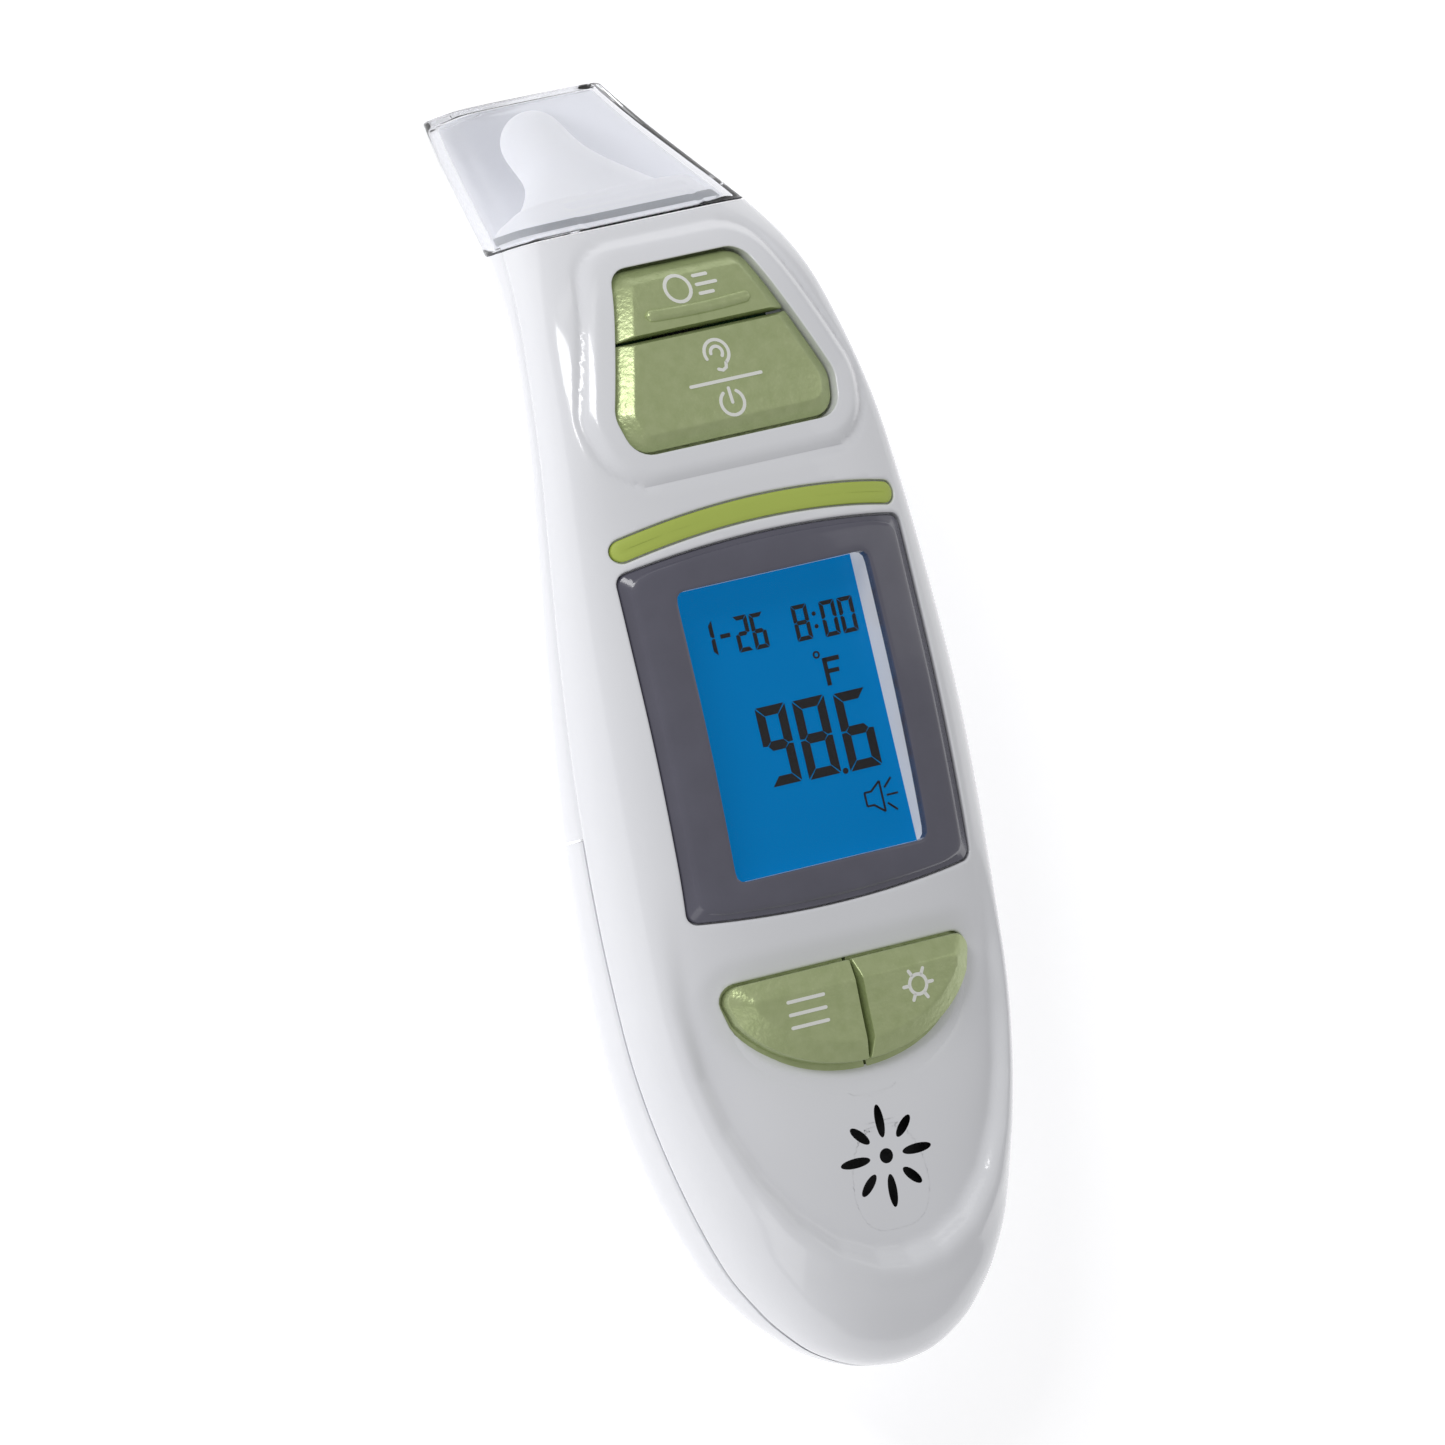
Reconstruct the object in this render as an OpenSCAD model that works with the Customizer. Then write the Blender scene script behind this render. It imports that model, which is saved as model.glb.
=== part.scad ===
// Digital ear thermometer: two-shell body with a bent-back head, clear probe
// hood, four press keys, display and a battery door that slides off.
// Drawn upright along +Y with the display facing +Z, then laid on its back.

/* [Body] */
// Length from the lower end to the seam of the probe hood
body_length = 135.5; // [134:0.5:162]
// Largest width of the body
body_width = 48.8; // [48.8:0.2:60]
// Largest depth from the display face to the back
body_depth = 36; // [36:0.5:46]
// Wall of the front and rear covers
wall = 2; // [1.6:0.1:2.6]
// Length of the clear probe hood past the seam
hood_length = 18; // [17.5:0.1:22]
// Wall of the probe hood
hood_wall = 1.4; // [1:0.1:1.8]
// Gap between the hood and the covers at the seam
hood_gap = 0.3; // [0.2:0.05:0.5]

/* [Display] */
// Width of the display lens
lens_w = 37.6; // [34:0.2:38]
// Height of the display lens at its corners
lens_h = 40.6; // [38:0.2:41]
// Rise of the arched top and bottom edges of the lens
lens_arch = 1.4; // [0.6:0.1:1.6]
// Thickness of the lens
lens_t = 1.2; // [0.8:0.1:1.4]
// Width of the liquid crystal panel
lcd_w = 26; // [20:0.2:27]
// Height of the liquid crystal panel
lcd_h = 34; // [28:0.2:35]
// Depth of the panel face below the middle of the body's front
lcd_deep = 5.2; // [4.8:0.1:5.4]

/* [Keys] */
// Travel of each key when pressed
key_travel = 0.5; // [0.3:0.05:0.7]
// Gap around each key
key_gap = 0.35; // [0.25:0.05:0.5]
// Height of the keys over the front surface
key_proud = 0.7; // [0.1:0.1:0.9]
// Width of a tact switch body
switch_w = 4.5; // [3.5:0.1:5]
// Height of a tact switch body
switch_h = 3.5; // [3:0.1:3.8]

/* [Sound] */
// Diameter of the ring of speaker slots
grille_d = 11.4; // [9:0.2:13]
// Width of one speaker slot
slot_w = 1.3; // [0.8:0.1:1.5]
// Diameter of the speaker
speaker_d = 16; // [12:0.5:17]

/* [Battery] */
// Diameter of one cell
cell_d = 10.5; // [8.7:0.1:11.6]
// Length of one cell
cell_l = 44.5; // [40:0.5:45]
// Wall of the battery door
door_wall = 1.8; // [1.4:0.1:2.2]
// Gap around the battery door
door_gap = 0.3; // [0.2:0.05:0.5]

/* [Probe] */
// Diameter of the probe at its tip
tip_d = 7.8; // [6.8:0.2:8.4]
// Length of the probe from the collar to its tip
probe_l = 21; // [18:0.5:21.5]

/* [Hidden] */
$fn = 48;

// The outline of body and hood for a body 135.5 long, 48.8 wide and 36 deep.
// Each row: place along the body, half width, seam height, front height,
// back height, squareness of the front, squareness of the back.
// Places are counted from the middle of the display.
OUTLINE = [
    [-75.5, 0, -11.5, -11.5, -11.5, 2.2, 2.2],
    [-74.5, 5.2, -12.2, -8.6, -16.4, 2.3, 2.2],
    [-72, 9.6, -13.2, -6, -21.4, 2.6, 2.4],
    [-69, 12.4, -14, -4, -24.8, 2.8, 2.6],
    [-66, 14.5, -14.5, -2.8, -27.2, 3, 2.8],
    [-60, 17.6, -15, -1.5, -30.4, 3.1, 2.9],
    [-48, 21.2, -14.8, -0.3, -34, 3.2, 2.8],
    [-36, 23.5, -14, 0, -34.8, 3.3, 2.6],
    [-24, 24.2, -13.2, 1, -33.8, 3.4, 2.5],
    [-12, 24.4, -12, 2.4, -31, 3.4, 2.5],
    [0, 24.2, -10.5, 3.2, -27, 3.4, 2.5],
    [12, 23.5, -9, 3.3, -23.3, 3.4, 2.5],
    [24, 22.4, -7.6, 3, -19.8, 3.6, 2.5],
    [36, 20.9, -7, 2.1, -17.4, 4, 2.5],
    [48, 18.9, -8.6, -0.4, -18, 4, 2.5],
    [54, 17.4, -11, -2.8, -21.8, 4, 2.5],
    [60, 15.3, -15.5, -7.2, -28, 4, 2.5],
    [66, 13.3, -21.5, -13.9, -34.8, 4, 2.5],
    [72, 11.5, -27.5, -21, -40.4, 4, 2.6],
    [78, 10.1, -33.2, -28, -44.2, 4, 2.7]];

y_scale = body_length / 135.5;
w_scale = body_width / 48.8;
d_scale = body_depth / 36;
SCALES = [y_scale, w_scale, d_scale, d_scale, d_scale, 1, 1];
ROWS = [for (row = OUTLINE) [for (k = [0:6]) row[k] * SCALES[k]]];
end_y = ROWS[0][0];
neck_y = end_y + body_length;
hood_y = neck_y + hood_length;
KNOTS = [for (row = ROWS) sqrt(row[0] - end_y)];
LAST = len(ROWS) - 1;

// Smooth curve through the rows. Its variable is the square root of the
// distance from the lower end, which rounds that end by itself.
function slope(i) = let (a = max(i - 1, 0), b = min(i + 1, LAST))
    (ROWS[b] - ROWS[a]) / (KNOTS[b] - KNOTS[a]);
function span_of(s) = max([for (k = [0:LAST - 1]) if (KNOTS[k] <= s) k]);
function at(y) = let (
        s = sqrt(max(y - end_y, 0)),
        i = span_of(s),
        h = KNOTS[i + 1] - KNOTS[i],
        t = (s - KNOTS[i]) / h)
    ROWS[i] * (1 + 2 * t) * pow(1 - t, 2) + slope(i) * h * t * pow(1 - t, 2)
    + ROWS[i + 1] * t * t * (3 - 2 * t) + slope(i + 1) * h * t * t * (t - 1);

// The same outline moved inwards by a wall t, closed a wall before the end.
END_REACH = 12;
function inside(y, t) = let (
        r = at(y - t * max(0, 1 - (y - end_y - t) / END_REACH)),
        f = t * min(1, (r[3] - r[2]) / 5),
        b = t * min(1, (r[2] - r[4]) / 5))
    [y, r[1] - t * min(1, r[1] / 8), r[2], r[3] - f, r[4] + b, r[5], r[6]];

// Height of the front surface, or of a surface a wall t under it
function front_z(x, y, t = 0) = let (r = t == 0 ? at(y) : inside(y, t), q = min(1, abs(x) / r[1]))
    r[2] + (r[3] - r[2]) * pow(1 - pow(q, r[5]), 1 / r[5]);

ARC_STEPS = 16;
function arc_point(r, side, a) = let (
        n = side > 0 ? r[5] : r[6],
        h = side > 0 ? r[3] - r[2] : r[2] - r[4],
        c = cos(a))
    [sign(c) * r[1] * pow(abs(c), 2 / n), r[0], r[2] + side * h * pow(abs(sin(a)), 2 / n)];

// Half of a cross-section, closed past the seam by the amount over.
function half_ring(y, t, side, over) = let (r = t == 0 ? at(y) : inside(y, t))
    [for (k = [0:ARC_STEPS]) arc_point([y, r[1], r[2], r[3], r[4], r[5], r[6]], side,
        180 * (side > 0 ? k : ARC_STEPS - k) / ARC_STEPS),
     each over == 0 ? [] : side > 0
        ? [[-r[1], y, r[2] - over], [r[1], y, r[2] - over]]
        : [[r[1], y, r[2] + over], [-r[1], y, r[2] + over]]];

// Whole cross-section
function full_ring(y, t) = let (r = t == 0 ? at(y) : inside(y, t))
    [for (k = [0:2 * ARC_STEPS - 1]) let (a = 180 * k / ARC_STEPS)
        k <= ARC_STEPS ? arc_point([y, r[1], r[2], r[3], r[4], r[5], r[6]], 1, a)
            : arc_point([y, r[1], r[2], r[3], r[4], r[5], r[6]], -1, 360 - a)];

// Places of the rings: close together at the round end, then even.
RING_STEP = 4;
TIP_STEP = 0.5;
function places(from, to) = let (low = max(from, end_y + 0.04), start = low + 16 * TIP_STEP)
    from > end_y + 3 ? spread(from, to)
        : concat([for (k = [0:3]) low + TIP_STEP * k * k], spread(start, to));
function spread(from, to) = let (n = ceil((to - from) / RING_STEP))
    [for (k = [0:n]) from + (to - from) * k / n];

// Solid through a row of rings with the same number of points
module loft(rings) {
    n = len(rings[0]);
    m = len(rings);
    points = [for (ring = rings) each ring];
    sides = [for (i = [0:m - 2], k = [0:n - 1]) let (
            a = i * n + k,
            b = i * n + (k + 1) % n)
        each [[a, b, b + n], [a, b + n, a + n]]];
    ends = [[for (k = [n - 1:-1:0]) k], [for (k = [0:n - 1]) (m - 1) * n + k]];
    polyhedron(points = points, faces = concat(sides, ends), convexity = 6);
}

module half_body(side, from, to, t = 0, over = 0) {
    loft([for (y = places(from, to)) half_ring(y, t, side, over)]);
}

// Sheet along the front: from hi over the surface a wall t_hi deep down to
// lo over the surface a wall t_lo deep
module skin(from, to, hi, lo, reach, t_hi = 0, t_lo = 0) {
    n = 14;
    rows = ceil((to - from) / 2.4);
    loft([for (j = [0:rows]) let (y = from + (to - from) * j / rows)
        concat(
            [for (k = [0:n]) let (x = reach - 2 * reach * k / n) [x, y, front_z(x, y, t_hi) + hi]],
            [for (k = [0:n]) let (x = -reach + 2 * reach * k / n) [x, y, front_z(x, y, t_lo) + lo]])]);
}

// Laid on its back: the belly and the hood's end carry it.
belly_y = -36 * y_scale;
rest_pitch = atan((at(belly_y)[4] - at(hood_y)[4]) / (hood_y - belly_y));
land_cut = 0.4;
ALL_Y = concat(places(end_y, neck_y), spread(neck_y, hood_y));
function laid(y, z) = [y * cos(rest_pitch) - z * sin(rest_pitch),
    y * sin(rest_pitch) + z * cos(rest_pitch)];
LAID = [for (y = ALL_Y) each let (r = at(y)) [laid(y, r[3]), laid(y, r[2]), laid(y, r[4])]];
laid_low = min([for (p = LAID) p[1]]) + land_cut;
laid_mid = (min([for (p = LAID) p[0]]) + max([for (p = LAID) p[0]])) / 2;

module laid_down() {
    translate([0, -laid_mid, -laid_low]) rotate([rest_pitch, 0, 0]) children();
}

// ---- places of the inner parts, in the body's upright frame ----
pcb_top = -8.6;
pcb_t = 1.2;
lcd_z = at(0)[3] - lcd_deep;
door_y = -8 * y_scale;
door_top = door_y - door_gap;
tray_top = -13.2;
tray_t = 1.8;
cell_z = tray_top - tray_t - 0.2 - cell_d / 2;
cell_x = cell_d / 2 + 0.35;
spring_l = 3.6;
contact_t = 0.4;
bay_l = cell_l + spring_l + 2 * contact_t + 0.2;
bay_w = 4 * cell_x + 0.2;
bay_wall = 1.4;
bay_top = door_y - 3;
bay_low = bay_top - bay_l;
bay_bottom = cell_z - 2.4;
keys_low = 33;
keys_top = 54.8;
keys_split = 46.2;
pair_y = -27.6;
pair_drop = 13.4;
pair_w = 33.6;
grille_y = -51.5;
gasket_t = 1;
speaker_top = front_z(0, grille_y - speaker_d / 2) - wall - 0.4 - gasket_t;
strip_y = 24.6;
strip_t = 0.8;
strip_reach = 20.4;
screw_r = 1.1;
screw_head_r = 2.1;
post_r = 2.6;
SCREWS = [[max(16, bay_w / 2 + bay_wall + screw_head_r + 0.2), -40], [16.2, 27]];

/* outlines */
module rounded(w, h, r) {
    hull() for (x = [-1, 1], y = [-1, 1]) translate([x * (w / 2 - r), y * (h / 2 - r)]) circle(r);
}

module arched_plate(w, h, arch, r) {
    bow = (w * w / 4 + arch * arch) / (2 * arch);
    offset(r) offset(-r) intersection() {
        square([w, h + 2 * arch], center = true);
        translate([0, h / 2 + arch - bow]) circle(bow, $fn = 240);
        translate([0, bow - h / 2 - arch]) circle(bow, $fn = 240);
    }
}

module upper_keys_outline(grow = 0) {
    offset(grow + 2) offset(-2) polygon([[-8.6, keys_top], [8.6, keys_top], [14.7, 37],
        [13.8, keys_low], [-13.8, keys_low], [-14.7, 37]]);
}

module pair_outline(grow = 0) {
    offset(grow + 1.8) offset(-1.8) intersection() {
        translate([0, pair_y + 0.6]) scale([pair_w / 2 + 0.4, pair_drop + 0.6]) circle(1, $fn = 90);
        translate([-pair_w, pair_y - 2 * pair_drop]) square([2 * pair_w, 2 * pair_drop]);
    }
}

module strip_outline(grow = 0) {
    bow = 98;
    half = 18.7;
    thick = 2.5;
    end_a = asin(half / bow);
    offset(grow + thick / 2 - 0.1) translate([0, strip_y - bow]) difference() {
        intersection() {
            circle(bow + 0.1, $fn = 720);
            polygon([[0, 0], for (k = [-4:4]) 1.2 * bow * [sin(k * end_a / 4), cos(k * end_a / 4)]]);
        }
        circle(bow - 0.1, $fn = 720);
    }
}

module prism(low, high) {
    translate([0, 0, low]) linear_extrude(high - low) children();
}

module petals() {
    circle(1.1);
    for (k = [0:7]) rotate(45 * k) hull() {
        translate([0, 2.6]) circle(slot_w / 3, $fn = 12);
        translate([0, (grille_d / 2 + 2.6) / 2 - 0.3]) circle(slot_w / 2, $fn = 12);
        translate([0, grille_d / 2 - slot_w / 3 + (k % 4 == 0 ? 0.5 : -0.5)]) circle(slot_w / 3, $fn = 12);
    }
}

// ---- covers ----
module screw_posts(low, high, r) {
    for (s = SCREWS, x = [-1, 1]) translate([x * s[0], s[1], low])
        cylinder(h = high - low, r = r, $fn = 24);
}

module front_cover() laid_down() color("white") difference() {
    union() {
        difference() {
            half_body(1, end_y, neck_y);
            half_body(1, end_y + wall, neck_y + 1, wall, 2);
        }
        intersection() {
            half_body(1, end_y, neck_y);
            union() {
                for (s = SCREWS, x = [-1, 1]) translate([x * s[0], s[1], tray_top])
                    cylinder(h = 20, r = post_r, $fn = 24);
                translate([0, grille_y, speaker_top - 2]) difference() {
                    cylinder(h = 20, r = speaker_d / 2 + 1);
                    translate([0, 0, -1]) cylinder(h = 30, r = speaker_d / 2 + 0.15);
                }
            }
        }
    }
    intersection() {
        prism(-20, 20) arched_plate(lens_w + 0.2, lens_h + 0.2, lens_arch, 2.5);
        skin(-25, 25, 3, -lens_t, lens_w / 2 + 1);
    }
    prism(-20, 20) rounded(lcd_w + 3.2, lcd_h + 3.2, 1);
    prism(-20, 20) upper_keys_outline();
    prism(-20, 20) pair_outline();
    prism(-20, 20) translate([0, grille_y]) petals();
    intersection() {
        prism(-20, 20) strip_outline();
        skin(strip_y - 6, strip_y + 4, 3, -strip_t, strip_reach);
    }
    screw_posts(-20, -3, screw_r + 0.05);
}

function plate_half(y) = at(y)[1] - max(wall, door_wall) - 1;

module rear_cover() laid_down() color("whitesmoke") difference() {
    union() {
        difference() {
            half_body(-1, door_y, neck_y);
            half_body(-1, door_y + 1.6, neck_y + 1, wall, 2);
            translate([-40, door_y - 1, tray_top + 4]) cube([80, 3, 30]);
        }
        // tray plate under the circuit board
        loft([for (y = spread(bay_low - bay_wall, door_y + 0.5)) let (p = plate_half(y))
            [[p, y, tray_top], [-p, y, tray_top], [-p, y, tray_top - tray_t], [p, y, tray_top - tray_t]]]);
        // battery bay walls
        difference() {
            translate([-bay_w / 2 - bay_wall, bay_low - bay_wall, bay_bottom])
                cube([bay_w + 2 * bay_wall, bay_l + 2 * bay_wall, tray_top - bay_bottom - 0.5]);
            translate([-bay_w / 2, bay_low, bay_bottom - 1])
                cube([bay_w, bay_l, tray_top - tray_t - bay_bottom + 1]);
            translate([-bay_w / 2 - 5, (bay_low + bay_top) / 2 - 9, bay_bottom - 1])
                cube([bay_w + 10, 18, 3.5]);
        }
        // screw posts under the upper half
        intersection() {
            half_body(-1, door_y, neck_y);
            for (x = [-1, 1]) translate([x * SCREWS[1][0], SCREWS[1][1], -30])
                cylinder(h = 40, r = post_r, $fn = 24);
        }
        // ribs across the neck
        for (k = [0:3]) intersection() {
            half_body(-1, door_y + 2, neck_y - 2, wall / 2);
            hull() for (x = [-1, 1], z = [-30, -15]) translate([x * 14, 6 + 10 * k, z])
                rotate([90, 0, 0]) cylinder(h = 1, r = 1, $fn = 12);
        }
        for (x = [-1, 1], y = [-50, -22]) intersection() {
            translate([-40, -80, tray_top - 8]) cube([80, 200, 8.5]);
            hull() for (z = [-24, -13]) translate([x * (bay_w / 2 + bay_wall + 0.6), y, z])
                rotate([90, 0, 0]) cylinder(h = 1.2, r = 1, $fn = 12);
        }
    }
    screw_posts(-40, 10, screw_r + 0.15);
    for (x = [-5.6, 5.6]) translate([x - 1, bay_top - 2.4, tray_top - tray_t - 1]) cube([2, 4.4, 4]);
    for (x = [-1, 1]) translate([x * SCREWS[1][0], SCREWS[1][1], upper_seat - 30])
        cylinder(h = 30, r = screw_head_r + 0.3, $fn = 24);
}

module battery_door() color("white") intersection() {
    laid_down() difference() {
        loft([for (y = places(end_y, door_top)) let (r = at(y), e = min(door_gap, (r[2] - r[4]) / 3))
            [for (k = [0:ARC_STEPS]) arc_point([y, r[1], r[2] - e, r[3], r[4], r[5], r[6]], -1,
                180 * (ARC_STEPS - k) / ARC_STEPS)]]);
        half_body(-1, end_y + door_wall, door_top + 1, door_wall, 3);
    }
    translate([-100, -200, 0]) cube([200, 400, 100]);
}

// ---- hood and probe ----
tilt = 48;
face_tilt = 18;
collar_y = neck_y + 2.6;
collar_deep = 3.4;
collar_z = (at(collar_y)[3] + at(collar_y)[4]) / 2;
collar_wall = wall + 0.2;
cone_l = probe_l - tip_d / 2 - 2.7;
bore_r = 3;
guide_end = cone_l - 0.4;
can_low = 3.5;
can_h = 2.9;

// Frame of the probe: its origin on the collar's face, +Z towards the tip
module probe_frame(angle = tilt) {
    translate([0, collar_y, collar_z]) rotate([-90 - angle, 0, 0]) children();
}

function shrink(ring, y, s) = let (r = at(y), zc = (r[3] + r[4]) / 2)
    [for (p = ring) [p[0] * s, p[1], zc + (p[2] - zc) * s]];

module probe_cap() color("lightcyan", 0.4) intersection() {
    laid_down() difference() {
        loft(concat(
            [for (y = spread(neck_y + hood_gap, hood_y - 1)) full_ring(y, 0)],
            [full_ring(hood_y - 0.4, 0), shrink(full_ring(hood_y, 0), hood_y, 0.93)]));
        loft([for (y = spread(neck_y, hood_y - hood_wall)) full_ring(y, hood_wall)]);
    }
    translate([-100, -200, 0]) cube([200, 400, 100]);
}

module collar_body(low, wall_in) intersection() {
    loft([for (y = spread(low, neck_y + 7)) full_ring(y, wall_in)]);
    probe_frame(face_tilt) translate([-30, -40, -30]) cube([60, 80, 30]);
}

module probe_collar() laid_down() color("white") difference() {
    collar_body(neck_y - collar_deep, collar_wall);
    probe_frame() translate([0, 0, -20]) cylinder(h = 30, r = bore_r + 0.2);
    // groove that the rubber ring sits in
    difference() {
        translate([-30, neck_y + 0.9, -60]) cube([60, 0.9, 60]);
        collar_body(neck_y - collar_deep, collar_wall + 0.6);
    }
}

module probe_seal() laid_down() color("dimgray") intersection() {
    difference() {
        collar_body(neck_y - collar_deep, hood_wall + 0.35);
        collar_body(neck_y - collar_deep, collar_wall + 0.6);
    }
    translate([-30, neck_y + 0.9, -60]) cube([60, 0.9, 60]);
}

// Rings of the probe: they turn from the collar's face into the probe's axis
// while the oval foot draws in to the round tip.
CONE_SIDES = 28;
CONE_STEPS = 9;
function cone_ring(l) = let (
        q = l / cone_l,
        flare = pow(1 - min(1, 1.25 * q), 2.2),
        a = tip_d / 2 + 6.2 * flare + 0.9 * (1 - q),
        b = tip_d / 2 + 1.8 * flare + 0.3 * (1 - q),
        turn = (tilt - face_tilt) * pow(1 - min(1, 1.6 * q), 2))
    [for (k = [0:CONE_SIDES - 1]) let (u = 360 * k / CONE_SIDES, v = b * sin(u))
        [a * cos(u), v * cos(turn), l + v * sin(turn)]];
function dome_ring(a) = [for (k = [0:CONE_SIDES - 1]) let (u = 360 * k / CONE_SIDES)
    [tip_d / 2 * cos(a) * cos(u), tip_d / 2 * cos(a) * sin(u), cone_l + tip_d / 2 * sin(a)]];

module ear_probe() laid_down() color("white") difference() {
    probe_frame() loft(concat([for (k = [0:CONE_STEPS]) cone_ring(cone_l * k / CONE_STEPS)],
        [for (k = [1:4]) dome_ring(18 * k)]));
    probe_frame() translate([0, 0, -9]) cylinder(h = 9 + cone_l, r = bore_r);
    probe_frame() cylinder(h = 40, r = bore_r - 1.1);
}

module probe_window() laid_down() color("silver")
    probe_frame() translate([0, 0, guide_end - 0.2]) cylinder(h = 0.5, r = bore_r - 0.1);

module wave_guide() laid_down() color("gold") probe_frame() difference() {
    translate([0, 0, can_low + can_h + 0.1])
        cylinder(h = guide_end - can_low - can_h - 0.4, r = bore_r - 0.1);
    cylinder(h = 40, r = bore_r - 0.6);
}

module ir_sensor() laid_down() color("lightgray") probe_frame() {
    translate([0, 0, can_low]) cylinder(h = can_h - 0.2, r = 2.3);
    translate([0, 0, can_low - 0.4]) cylinder(h = 0.4, r = 2.75);
    for (a = [45:90:315]) rotate(a) translate([1.3, 0, can_low - 4]) cylinder(h = 3.7, r = 0.23, $fn = 16);
}

module sensor_holder() laid_down() color("black") probe_frame() difference() {
    translate([0, 0, can_low]) cylinder(h = can_h, r = bore_r - 0.05);
    translate([0, 0, can_low - 1]) cylinder(h = can_h + 2, r = 2.4);
}

// ---- wires ----
function unit(v) = v / norm(v);
function mid_dir(path, i) = unit(path[min(i + 1, len(path) - 1)] - path[max(i - 1, 0)]);
module wire(path, r) {
    sides = 8;
    loft([for (i = [0:len(path) - 1]) let (
            t = mid_dir(path, i),
            u = unit(cross([1, 0, 0], t)),
            v = cross(t, u))
        [for (k = [0:sides - 1]) path[i] + r * (cos(360 * k / sides) * u + sin(360 * k / sides) * v)]]);
}

// Bundle of sensor wires from the pins' ends to the circuit board
bundle_from = [0, collar_y - 0.8 * cos(tilt), collar_z + 0.8 * sin(tilt)];
bundle_end = [0, keys_top - 4, pcb_top - pcb_t - 0.9];
module sensor_leads() laid_down() color("firebrick") wire([bundle_from,
    bundle_from + 3.5 * [0, -cos(tilt), sin(tilt)],
    bundle_from + 7 * [0, -cos(tilt), sin(tilt)],
    [0, collar_y - 8.2, pcb_top - pcb_t - 2],
    bundle_end], 0.8);

module battery_leads() laid_down() color("red") for (x = [-5.6, 5.6]) wire([
    [x, bay_top - 0.2, cell_z + 5.2], [x, bay_top + 0.4, tray_top - 0.4],
    [x, bay_top + 0.4, tray_top + 1.2], [x, bay_top - 1.4, tray_top + 2.6],
    [x, bay_top - 3.6, pcb_top - pcb_t - 0.5]], 0.45);

module speaker_leads() laid_down() color("black") for (x = [-3, 3]) wire([
    [x, grille_y + 4.4, speaker_top - 4.1], [x, grille_y + 7, speaker_top - 4.9],
    [x, grille_y + 9.6, pcb_top - pcb_t - 1.2], [x, grille_y + 12, pcb_top - pcb_t - 0.55]], 0.5);

// ---- keys ----
HEAD_AT = [0, 48.4];
EAR_AT = [0, 40];
MEM_AT = [-8.4, -33.2];
SET_AT = [8.4, -33.2];
flange_t = 0.8;
upper_reach = 16.2;
pair_reach = 20;
plunger_top = pcb_top + switch_h + 0.9;
plunger_r = 1.6;

module key(from, to, reach) {
    intersection() {
        prism(-30, 30) difference() {
            children(0);
            children(2);
        }
        skin(from, to, key_proud, -key_gap - flange_t / 2, reach, 0, wall);
    }
    intersection() {
        prism(-30, 30) difference() {
            children(1);
            children(2);
        }
        skin(from, to, -key_gap, -key_gap - flange_t, reach + 0.6, wall, wall);
    }
}

module stem(place) {
    stem_high = front_z(place[0], place[1], wall) - key_gap - flange_t / 2;
    translate([place[0], place[1], plunger_top]) cylinder(h = stem_high - plunger_top, r = plunger_r);
}

module upper_key(low, high) {
    key(keys_low - 3, keys_top + 1.5, upper_reach) {
        upper_keys_outline(-key_gap);
        upper_keys_outline(0.9);
        difference() {
            square(200, center = true);
            translate([-40, low]) square([80, high - low]);
        }
    }
}

module pair_key(side) {
    key(pair_y - pair_drop - 3, pair_y + 3, pair_reach) {
        pair_outline(-key_gap);
        pair_outline(0.9);
        translate([side > 0 ? -80 + key_gap / 2 : -key_gap / 2, -80]) square([80, 160]);
    }
}

module head_button() laid_down() color("darkseagreen") {
    upper_key(keys_split + key_gap / 2, keys_top + 2);
    stem(HEAD_AT);
}

module ear_power_button() laid_down() color("darkseagreen") {
    upper_key(keys_low - 2, keys_split - key_gap / 2);
    stem(EAR_AT);
}

module mem_button() laid_down() color("darkseagreen") {
    pair_key(-1);
    stem(MEM_AT);
}

module set_button() laid_down() color("darkseagreen") {
    pair_key(1);
    stem(SET_AT);
}

module plunger(place) laid_down() color("dimgray")
    translate([place[0], place[1], plunger_top - 2.5]) cylinder(h = 2.5, r = plunger_r);

module tact_switch(place) laid_down() color("black") difference() {
    translate([place[0] - switch_w / 2, place[1] - switch_w / 2, pcb_top])
        cube([switch_w, switch_w, switch_h]);
    translate([place[0], place[1], plunger_top - 2.8 - key_travel])
        cylinder(h = 10, r = plunger_r + 0.25);
}

module head_plunger() plunger(HEAD_AT);
module ear_power_plunger() plunger(EAR_AT);
module mem_plunger() plunger(MEM_AT);
module set_plunger() plunger(SET_AT);
module head_switch() tact_switch(HEAD_AT);
module ear_power_switch() tact_switch(EAR_AT);
module mem_switch() tact_switch(MEM_AT);
module set_switch() tact_switch(SET_AT);

// ---- display ----
module display_lens() laid_down() color("dimgray") intersection() {
    prism(-20, 20) arched_plate(lens_w, lens_h, lens_arch, 2.5);
    skin(-25, 25, 0, -lens_t, lens_w / 2 + 1);
}

module accent_strip() laid_down() color("yellowgreen") intersection() {
    prism(-20, 20) strip_outline(-0.05);
    skin(strip_y - 6, strip_y + 4, 0, -strip_t, strip_reach);
}

glass_t = 1.8;
guide_t = 2.4;
module block(w, l, low, high, y = 0) {
    translate([-w / 2, y - l / 2, low]) cube([w, l, high - low]);
}

module lcd_panel() laid_down() color("steelblue") block(lcd_w, lcd_h, lcd_z - glass_t, lcd_z);

module lcd_holder() laid_down() color("gainsboro") difference() {
    block(lcd_w + 2.6, lcd_h + 2.6, pcb_top, 6);
    block(lcd_w + 0.1, lcd_h + 0.1, pcb_top - 1, 10);
    skin(-25, 25, 9, -lens_t - 0.15, 19);
}

module lcd_backlight() laid_down() color("white")
    block(lcd_w - 0.4, lcd_h - 6, lcd_z - glass_t - guide_t, lcd_z - glass_t);

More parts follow.
